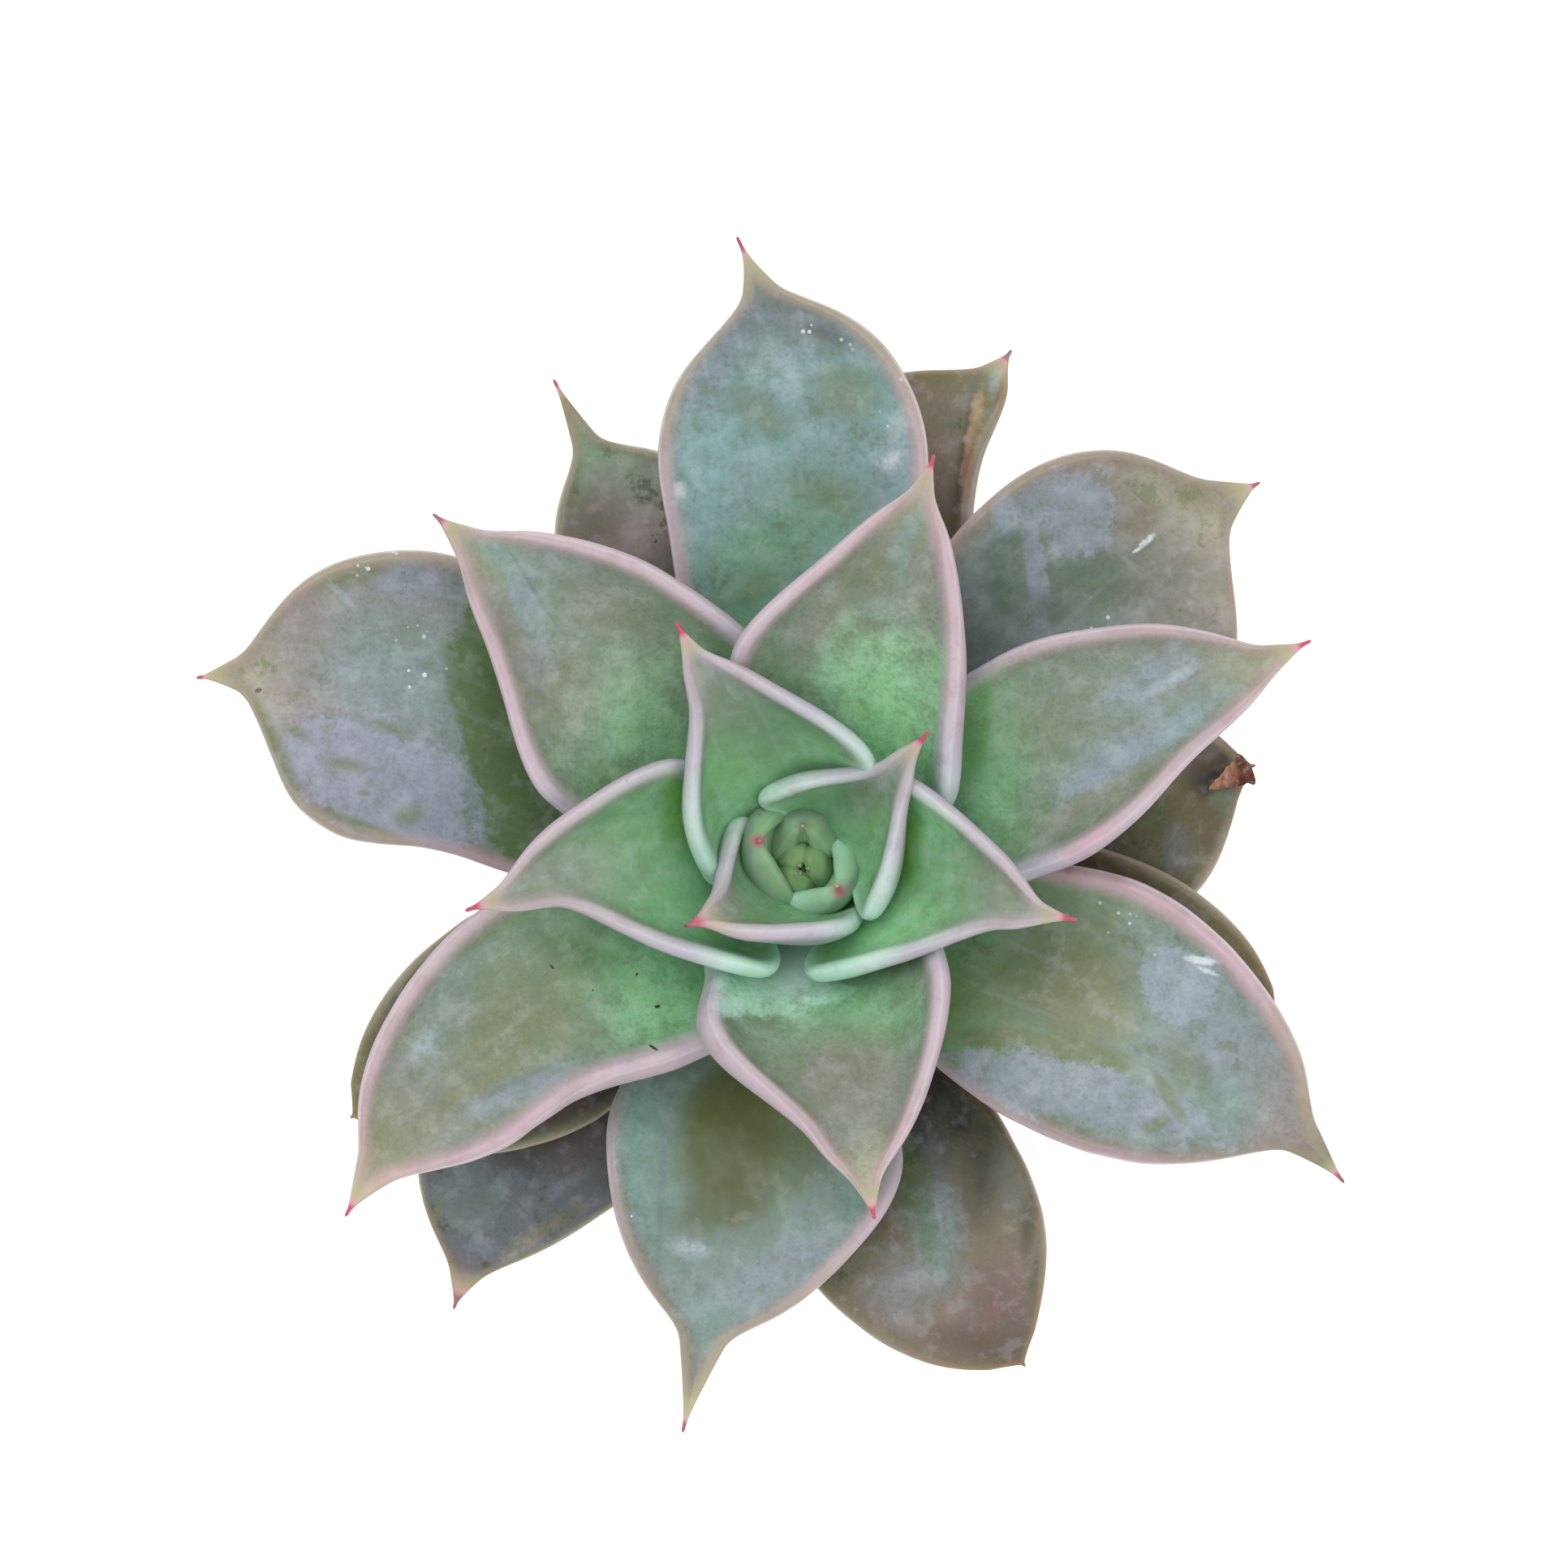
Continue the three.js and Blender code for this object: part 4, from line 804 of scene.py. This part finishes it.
def leafPaint(name, look, seed):
    paint = Paint(name)
    dice = np.random.default_rng(seed)
    coordinates = paint.node("ShaderNodeTexCoord").outputs["Object"]
    skin = paint.objectPlace(tuple(dice.uniform(-1, 1, 3)))
    along, across, rim = paint.split(paint.attribute("leafPlace"))
    sheet = paint.attribute("leafSheet")
    toTip = paint.split(sheet)[2]
    cloud = paint.noise(skin, skinGrain["cloud"], 3.0, 0.55)
    blotch = paint.noise(skin, skinGrain["blotch"], 4.0, 0.62)
    grain = paint.noise(skin, skinGrain["grain"], 2.0, 0.65)
    streak = paint.noise(paint.stretched(sheet, skinGrain["streak"]), 1.0, 1.0, 0.5)
    waver = (cloud - 0.5) * 0.5 + (blotch - 0.5) * 0.3
    ragged = (cloud - 0.5) * 1.1 + (blotch - 0.5) * 1.0 + (grain - 0.5) * 0.4
    onTop = rim.rise(-0.4, 0.0)

    def marked(mark, unevenness):  # tone, shape, weight and gloss of a patch
        tone, spotX, spotY, halfX, halfY, weight, turn, soft, gloss = mark + (0, 0.9, 0)[len(mark) - 6:]
        place = (look["level"], spotX, spotY, halfX, halfY, turn)
        return tone, paint.patch(coordinates, *place, soft, unevenness), weight, gloss

    # flesh, bloom and worn places
    colour = paint.ramp(along + waver * 0.35, look["flesh"])
    bloomTone, bloomWeight = look["bloom"]
    bloom = (cloud * 0.6 + blotch * 0.35 + streak * 0.15).rise(0.46, 0.66)
    colour = paint.mix(colour, bloomTone, bloom * along.rise(0.15, 0.5) * bloomWeight)
    wornTone, wornWeight = look["worn"]
    worn = (blotch * 0.5 + cloud * 0.4 + grain * 0.15).rise(0.6, 0.66)
    colour = paint.mix(colour, wornTone, worn * wornWeight)
    flushTone, flushWide, flushWeight = look["flush"]
    flush = 1 - (rim + waver * 3).rise(0.8, flushWide)
    colour = paint.mix(colour, flushTone, flush * along.rise(0.15, 0.5) * flushWeight)

    # patches listed one by one: the early ones lie on the flesh, the late ones over everything
    shining = 0.0
    for mark in look["patches"]:
        tone, shape, weight, gloss = marked(mark, ragged)
        shape = shape * onTop
        colour = paint.mix(colour, tone, shape * weight)
        if gloss:
            shining = shape * gloss + shining

    # fine mottling of the skin, with a faint painted sheen in random pale flecks
    if look["wash"]:
        wash = (1 - (rim + waver * 2).rise(0.3, 4.2)) * (1 - along.rise(0.28, 0.55))
        colour = paint.mix(colour, "mint", wash * look["wash"])
    colour = paint.mix(colour, "mist", streak.rise(0.52, 0.7) * look["streak"])
    colour = paint.mix(colour, "moss", blotch.rise(0.5, 0.66) * 0.26)
    colour = paint.mix(colour, "bark", grain.rise(0.38, 0.74) * look["grain"])
    # painted sheen: faint pale flecks in the shine tone
    colour = paint.mix(colour, "shine", (1 - blotch.rise(0.34, 0.5)) * 0.1)

    # underside
    below = paint.ramp(along + waver * 0.5, look["under"])
    below = paint.mix(below, "umber", blotch.rise(0.55, 0.7) * 0.2)
    below = paint.mix(below, "mist", streak.rise(0.5, 0.75) * 0.15)
    colour = paint.mix(below, colour, onTop)

    # margin: its band fades into the flesh inside and over the thick flank outside, with a painted highlight line on
    # its crest
    wide = across.rise(-0.05, 0.05) * (look["rim"][0] - look["rim"][1]) + look["rim"][1]
    wide = wide * (1.15 - along * 0.4) + (blotch - 0.5) * 1.2 + (cloud - 0.5) * 0.8
    inside = 1 - (rim - wide).rise(-0.25 * look["fade"] - 0.5, look["fade"])
    band = paint.ramp(along + waver * 0.12, look["band"])
    low = 1 - rim.rise(-3.2, -0.3)
    band = paint.mix(band, "fog", low * along.rise(0.35, 0.6) * 0.75)
    band = paint.mix(band, "mauve", (blotch * 0.6 + cloud * 0.4).rise(0.5, 0.62) * 0.25)
    crest = 1 - abs(rim + 0.05 + (blotch - 0.5) * 0.6).rise(0.03, 0.45)
    band = paint.mix(band, "shine", crest * look["crest"])
    outside = rim.rise(-look["over"], -look["over"] * 0.67)
    colour = paint.mix(colour, band, inside * outside * along.rise(0.02, 0.1) * (0.95 - grain * 0.2))

    # the fine point
    if look["tip"]:
        redEnd, pinkEnd, paleEnd = look["tip"]
        near = toTip + waver * 0.8
        colour = paint.mix(colour, "straw", (1 - near.rise(pinkEnd * 0.8, paleEnd)) * 0.55)
        colour = paint.mix(colour, "pink", (1 - near.rise(redEnd * 0.8, pinkEnd)) * 0.6)
        colour = paint.mix(colour, look["tipTone"], (1 - near.rise(redEnd * 0.5, redEnd)) * 0.85)

    for mark in look["late"]:
        tone, shape, weight, _ = marked(mark, waver)
        colour = paint.mix(colour, tone, shape * weight)

    # specks
    speckAway, (chance, size, _) = paint.cells(skin, skinGrain["specks"])
    speck = (1 - (speckAway - size * 0.03).rise(0.02, 0.05)) * chance.rise(0.9, 0.92)
    colour = paint.mix(colour, "umber", speck * 0.8)

    # painted glints of dewdrops in a few places: white dots in the shine tone, a little glossier
    if look["dewGlints"]:
        drops = 0.0
        dewAway, (chance, size, _) = paint.cells(skin, skinGrain["dewGlints"])
        dewGlint = (1 - (dewAway - size * 0.16).rise(0.06, 0.12)) * chance.rise(0.45, 0.47)
        for place in look["dewGlints"]:
            drops = dewGlint * paint.patch(coordinates, look["level"], *place, 0.6, ragged) * onTop + drops
        colour = paint.mix(colour, "shine", drops * 0.85)
        shining = shining + drops * 0.2

    lumps = paint.noise(skin, skinGrain["lumps"], 2.0, 0.5)
    finish = look["rough"] + bloom * 0.08 - worn * 0.05 + (blotch - 0.5) * 0.16 - crest * 0.08 - shining
    return paint.finish(colour, finish, lumps, skinGrain["bump"])


for index, leaf in enumerate(leaves):
    number = "%02d" % (index + 1)
    node = "leaf_" + number
    tier = "young" if index < 8 else "grown" if index < 18 else "old"
    coat = "heart" if index < 3 else "outer" if 13 <= index < 18 else tier
    rings = leafGrid["smallRings" if index < 3 else "rings"]
    piece = growLeaf(node + "_flesh", leaf, index, 100 + 17 * index, rings)
    look = {**plain, **tiers[coat], **looks.get(number, {})}
    piece.data.materials.append(leafPaint(node + "_skin", look, 500 + index))
    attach(piece, "root")
    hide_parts(node)
    tier + "_leaf"
print("leaves grown and painted")

# The dried tip of one old leaf, curled back over it: a husk rolled up along its length
husk = {"end": (1541, 944), "point": (1489, 973), "level": 88.6, "half": 2.5, "thick": 0.22, "curl": 1.7,
        "around": 32, "rings": 40, "redFrom": 1505, "redTo": 1532, "redLevel": 88,
        "blotch": 500.0, "grain": 1500.0, "bump": 0.25}
huskPiece, share, turn = addBall("leaf_25_dried_tip", husk["around"], husk["rings"], 1 * mm)
start, stop = (np.array([*under(*husk[key], husk["level"]), husk["level"]]) for key in ("end", "point"))
ahead = unit(stop - start)
aside = np.array([-ahead[1], ahead[0], 0.0])
wide = husk["half"] * np.sqrt(ease(share, -0.01, 0.12)) * (1 - share) ** 0.7 + 0.12
wide = wide * (1 + 0.08 * np.sin(share * 17) + 0.05 * np.sin(share * 41 + 1))
curl = husk["curl"] * (0.35 + 0.65 * share)
bow = np.cos(turn) * curl
radius = wide / curl
sidePlace = np.sin(bow) * radius
upPlace = (1 - np.cos(bow)) * radius + np.sin(turn) * husk["thick"] * np.cos(bow) + 0.3 * np.sin(share * 6)
places = start + (stop - start) * share[:, None] + aside * sidePlace[:, None]
places[:, 2] += upPlace + 0.15 * np.sin(share * 31) * np.sin(turn * 2)
setCorners(huskPiece, places * mm)
faceOutwards()
bpy.ops.object.shade_smooth()
dried = Paint("dried_husk")
skin = dried.objectPlace()
blotch = dried.noise(skin, husk["blotch"], 4.0, 0.6)
grain = dried.noise(skin, husk["grain"], 2.0, 0.6)
redEnds = [under(husk[key], 0, husk["redLevel"])[0] * mm for key in ("redFrom", "redTo")]
reddish = (dried.split(skin)[0] + (blotch - 0.5) * 0.004).rise(*redEnds)
colour = dried.mix("husk", "huskDark", reddish)
colour = dried.mix(colour, "shade", blotch.rise(0.52, 0.68) * 0.6)
colour = dried.mix(colour, "cream", (1 - grain.rise(0.35, 0.5)) * 0.25)
finish = 0.7 + (blotch - 0.5) * 0.2
huskPiece.data.materials.append(dried.finish(colour, finish, blotch + grain * 0.3, husk["bump"]))
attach(huskPiece, "root")
print("dried tip made")

# The closed bud at the heart: three pressed lobes round a small core
bud = {"core": (1.4, 9.4), "rings": 36, "lobes": [
    {"tip": (240, 0.5, 12.2), "foot": 240, "rise": (70, 112), "lift": (1.7, 1.7), "point": (0.8, 0.8),
     "left": (2.2, 2.5, 1.9), "right": (2.2, 2.5, 1.9)},
    {"tip": (10, 0.6, 12.5), "foot": 10, "rise": (70, 112), "lift": (1.8, 1.8), "point": (0.8, 0.8),
     "left": (2.3, 2.7, 2), "right": (2.3, 2.7, 2)},
    {"tip": (128, 0.5, 11.7), "foot": 128, "rise": (72, 112), "lift": (1.5, 1.5), "point": (0.8, 0.8),
     "left": (2, 2.3, 1.8), "right": (2, 2.3, 1.8)}]}
bpy.ops.mesh.primitive_uv_sphere_add(segments=24, ring_count=16, radius=bud["core"][0] * mm)
budCore = bpy.context.object
bpy.ops.object.mode_set(mode="EDIT")
bpy.ops.mesh.select_all(action="SELECT")
bpy.ops.transform.resize(value=(1, 1, bud["core"][1] / 2 / bud["core"][0]))
heartFoot = [*rosette["heart"], rosette["crownTop"] + bud["core"][1] / 2 + rosette["seatGap"]]
bpy.ops.transform.translate(value=[c * mm for c in heartFoot])
bpy.ops.object.mode_set(mode="OBJECT")
bpy.ops.object.shade_smooth()
budParts = [budCore]
for index, lobe in enumerate(bud["lobes"]):
    budParts.append(growLeaf("bud_lobe_%d" % index, lobe, 0, 60 + index, bud["rings"]))
pickOnly(*budParts)
bpy.ops.object.join()
budPiece = named("heart_bud_lobes")
budPiece.data.materials.append(leafPaint("bud_skin", {**plain, **tiers["bud"]}, 490))
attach(budPiece, "root")
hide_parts("heart_bud")
print("bud made")


# Extrudes a disc ring by ring along a profile of radii and heights, as on a wheel
def turnUp(name, profile, sides, stride):
    fine = [profile[0]]
    for a, b in zip(profile, profile[1:]):
        parts = max(1, math.ceil(math.dist(a, b) / stride))
        fine += [(a[0] + (b[0] - a[0]) * i / parts, a[1] + (b[1] - a[1]) * i / parts) for i in range(1, parts + 1)]
    bpy.ops.mesh.primitive_circle_add(vertices=sides, radius=fine[0][0] * mm, fill_type="NGON", location=(0, 0, 0))
    piece = named(name)
    bpy.ops.object.mode_set(mode="EDIT")
    bpy.ops.mesh.select_mode(type="FACE")
    bpy.ops.mesh.select_all(action="SELECT")
    bpy.ops.transform.translate(value=(0, 0, fine[0][1] * mm))
    for before, after in zip(fine, fine[1:]):
        bpy.ops.mesh.extrude_region_move(TRANSFORM_OT_translate={"value": (0, 0, (after[1] - before[1]) * mm)})
        grow = after[0] / before[0]
        bpy.ops.transform.resize(value=(grow, grow, 1))
    faceOutwards()
    return piece


def hills(x, y, z, seed, length):  # soft lumps of one size, -1 to 1
    dice = np.random.default_rng(seed)
    total = np.zeros_like(x)
    for _ in range(6):
        aim = unit(dice.normal(size=3))
        total += np.sin((x * aim[0] + y * aim[1] + z * aim[2]) * 2 * math.pi / length + dice.uniform(0, 6.28))
    return total / 6


# The pot: a flat foot, a flared body and a thick rim band, with three drain holes
pot = {"sides": 96, "stride": 2.4,
       "outer": [(26.3, 0), (27.1, 0.3), (27.5, 1.1), (37.6, 55), (39.7, 55.05), (40.5, 55.5), (40.75, 56.4),
                 (41, 68.6), (40.75, 69.5), (40.0, 69.95), (38.4, 70)],
       "inner": [(37.4, 69.8), (36.8, 69), (36.2, 56.5), (34, 53.5), (24.3, 7), (23.6, 5.5), (22.3, 5), (3.0, 5)],
       "drains": 3, "drainRadius": 3.2, "drainCircle": 13, "firstDrain": 30, "throwing": 0.07, "throwingStep": 3.7,
       "bevel": 0.35, "bevelFrom": 50, "smoothTo": 45, "cloud": 60.0, "blotch": 260.0, "grain": 1800.0,
       "turning": (20.0, 20.0, 700.0), "dampUpTo": 0.03, "saltAt": 0.05, "bump": 0.25}
potPiece = turnUp("clay_pot", pot["outer"] + pot["inner"], pot["sides"], pot["stride"])
corners = cornersOf(potPiece)
x, y, z = (corners / mm).T
radius = np.hypot(x, y)
throwing = np.sin(z * 2 * math.pi / pot["throwingStep"]) * 0.5 + hills(x, y, z, 7, 21) + hills(x, y, z, 8, 9) * 0.5
push = throwing * pot["throwing"] * ease(z, 1.5, 4) * ease(radius, 20, 25)
corners[:, :2] *= (1 + push / np.maximum(radius, 1))[:, None]
setCorners(potPiece, corners)
for index in range(pot["drains"]):
    angle = math.radians(pot["firstDrain"] + 360 / pot["drains"] * index)
    bpy.ops.mesh.primitive_cylinder_add(vertices=40, radius=pot["drainRadius"] * mm, depth=16 * mm, location=(
        math.cos(angle) * pot["drainCircle"] * mm, math.sin(angle) * pot["drainCircle"] * mm, 0))
    drill = bpy.context.object
    pickOnly(potPiece)
    applyModifier(potPiece, "BOOLEAN", operation="DIFFERENCE", object=drill)
    bpy.data.objects.remove(drill)
pickOnly(potPiece)
applyModifier(potPiece, "BEVEL", width=pot["bevel"] * mm, segments=2, limit_method="ANGLE",
              angle_limit=math.radians(pot["bevelFrom"]))
bpy.ops.object.shade_smooth_by_angle(angle=math.radians(pot["smoothTo"]))

clay = Paint("fired_clay")
skin = clay.objectPlace()
up = clay.split(skin)[2]
cloud = clay.noise(skin, pot["cloud"], 4.0, 0.6)
blotch = clay.noise(skin, pot["blotch"], 4.0, 0.6)
grain = clay.noise(skin, pot["grain"], 2.0, 0.6)
turning = clay.noise(clay.stretched(skin, pot["turning"]), 1.0, 3.0, 0.6)
colour = clay.ramp(cloud * 0.6 + blotch * 0.4, {0.3: "clayDark", 0.55: "clay", 0.8: "tan"})
colour = clay.mix(colour, "clayDark", turning.rise(0.5, 0.75) * 0.35)
damp = 1 - (up + (cloud - 0.5) * 0.03).rise(0.006, pot["dampUpTo"])
colour = clay.mix(colour, "clayDark", damp * 0.5)
salt = (cloud * 0.5 + blotch * 0.5 + (1 - abs(up - pot["saltAt"]) * 40) * 0.1).rise(0.52, 0.66)
colour = clay.mix(colour, "claySalt", salt * 0.34)
colour = clay.mix(colour, "umber", grain.rise(0.6, 0.75) * 0.3)
colour = clay.mix(colour, "cream", (1 - grain.rise(0.25, 0.36)) * 0.25)
finish = 0.82 + (blotch - 0.5) * 0.15
relief = grain * 0.4 + turning * 0.5 + blotch * 0.4
potPiece.data.materials.append(clay.finish(colour, finish, relief, pot["bump"], **{"Specular IOR Level": 0.3}))
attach(potPiece, "root")
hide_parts("pot")
print("pot made")

# The soil: a low crumbly mound with a hole for the stem, and loose crumbs and grit on top
soil = {"top": 61, "mound": 2.4, "bottom": 5.3, "hole": 6.1, "holeFoot": 49.7, "edge": 36.07, "sides": 96,
        "stride": 1.1, "lumps": 0.55, "crumbs": 620, "crumbSizes": (0.35, 1.15), "grit": 70, "gritSizes": (0.35, 0.9),
        "strewn": (8.5, 35.0), "blotch": 420.0, "grain": 2200.0, "rough": 0.94}


def moundHeight(share):  # from the soil's edge to its hole
    return soil["top"] + soil["mound"] * float(ease(share, 0, 1))


soilTop = [(blendBetween(soil["edge"], soil["hole"], share), moundHeight(share)) for share in np.linspace(0, 1, 9)]
soilPiece = turnUp("potting_soil", [(22.0, soil["bottom"]), (24.0, 7), (33.7, 53.5), (35.9, 56.5), *soilTop,
                                    (soil["hole"], soil["holeFoot"])], soil["sides"], soil["stride"])
corners = cornersOf(soilPiece)
x, y, z = (corners / mm).T
radius = np.hypot(x, y)
lumps = hills(x, y, z, 3, 7) + hills(x, y, z, 4, 3.6) * 0.7 + hills(x, y, z, 5, 2.1) * 0.5
onTop = (z > soil["top"] - 0.01) & (radius > soil["hole"] + 0.2)
corners[:, 2] += np.where(onTop, lumps * soil["lumps"] * ease(radius, soil["hole"], soil["hole"] + 3), 0) * mm
setCorners(soilPiece, corners)
bpy.ops.object.shade_smooth()


# Small stones or crumbs strewn over the soil: one is modelled, the others are its copies
def strew(name, count, sizes, seed):
    bpy.ops.mesh.primitive_ico_sphere_add(subdivisions=2, radius=1 * mm)
    piece = named(name)
    one = cornersOf(piece) / mm
    faces = np.empty(len(piece.data.polygons) * 3, int)
    piece.data.polygons.foreach_get("vertices", faces)
    dice = np.random.default_rng(seed)
    nearest, farthest = soil["strewn"]
    corners, triangles = [], []
    for i in range(count):
        away = math.sqrt(dice.uniform(nearest ** 2, farthest ** 2))
        angle = dice.uniform(0, 2 * math.pi)
        share = (soil["edge"] - away) / (soil["edge"] - soil["hole"])
        height = moundHeight(share)
        stone = one * (1 + 0.16 * dice.normal(size=(len(one), 1))) * dice.uniform(0.6, 1.2, 3)
        turn = dice.uniform(0, math.pi)
        spin = np.array([[math.cos(turn), -math.sin(turn), 0], [math.sin(turn), math.cos(turn), 0], [0, 0, 1]])
        stone = stone @ spin.T * dice.uniform(*sizes)
        corners.append(stone + [math.cos(angle) * away, math.sin(angle) * away, height + sizes[0] * 0.3])
        triangles.append(faces.reshape(-1, 3) + i * len(one))
    heap = bpy.data.meshes.new(name)
    heap.from_pydata((np.concatenate(corners) * mm).tolist(), [], np.concatenate(triangles).tolist())
    piece.data = heap
    bpy.ops.object.shade_smooth()
    return piece


def earthPaint(name, tones, depth):
    paint = Paint(name)
    skin = paint.objectPlace()
    blotch = paint.noise(skin, soil["blotch"], 5.0, 0.65)
    grain = paint.noise(skin, soil["grain"], 3.0, 0.6)
    lumps = blotch * 0.6 + grain * 0.4
    colour = paint.ramp(lumps, dict(zip((0.36, 0.52, 0.68), tones)))
    return paint.finish(colour, soil["rough"], lumps, depth, **{"Specular IOR Level": 0.15})


crumbs = strew("soil_crumbs", soil["crumbs"], soil["crumbSizes"], 31)
grit = strew("soil_grit", soil["grit"], soil["gritSizes"], 32)
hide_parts("soil")
for piece, name, tones, depth in ((soilPiece, "potting_mix", ("soilDark", "soil", "umber"), 0.7),
                                  (crumbs, "crumb", ("soilDark", "soil", "umber"), 0.3),
                                  (grit, "pale_grit", ("taupe", "soilGrit", "cream"), 0.2)):
    piece.data.materials.append(earthPaint(name, tones, depth))
    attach(piece, "root")
print("soil made")

# The stem leans from the pot's middle to the heart, and carries the scars of fallen leaves
stem = {"around": 40, "rings": 90, "foot": 50, "neck": 5.8, "scar": 0.35, "scarStep": 2.3, "scarsFrom": (62, 66),
        "leanFrom": 63.4, "footRound": 0.6, "blotch": 380.0, "ringScale": (60.0, 60.0, 900.0),
        "rough": 0.8, "bump": 0.4}
stemPiece, share, turn = addBall("woody_stem", stem["around"], stem["rings"], 5 * mm)
orders = np.linspace(0, len(leaves) + 1, 200)
drops = np.array([footDrop(order) for order in orders])
radii = np.array([footRadius(order) for order in orders])
lowest = drops[-1]
ringShare = np.clip((share * stem["rings"] - 1) / (stem["rings"] - 2), 0, 1)
height = stem["foot"] + (rosette["crownTop"] - stem["foot"]) * ringShare
drop = rosette["crownTop"] - height
radius = np.where(drop < lowest, np.interp(drop, drops, radii), stem["neck"])
radius = np.minimum(radius, stem["neck"] - stem["footRound"] + np.clip(height - stem["foot"], 0, 0.8) * 0.75)
scars = np.sin(height * 2 * math.pi / stem["scarStep"] + turn * 3) * np.sin(turn * 5 - height * 0.9)
radius = radius - stem["scar"] * (0.5 + 0.5 * scars) * ease(height, *stem["scarsFrom"])
radius[(share <= 0) | (share >= 1)] = 0
lean = 1 - ease(height, stem["leanFrom"], rosette["crownTop"] - lowest)
around = np.stack([np.cos(turn), np.sin(turn)], 1) * radius[:, None]
middle = np.array(rosette["heart"]) * (1 - lean)[:, None]
setCorners(stemPiece, np.column_stack([around + middle, height]) * mm)
bpy.ops.object.shade_smooth()
bark = Paint("corky_stem")
skin = bark.objectPlace()
rings = bark.noise(bark.stretched(skin, stem["ringScale"]), 1.0, 3.0, 0.6)
relief = bark.noise(skin, stem["blotch"], 5.0, 0.62) * 0.5 + rings * 0.5
colour = bark.ramp(relief, {0.32: "umber", 0.5: "cork", 0.68: "straw"})
stemPiece.data.materials.append(bark.finish(colour, stem["rough"], relief, stem["bump"]))
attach(stemPiece, "root")
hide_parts("stem")
print("stem made")
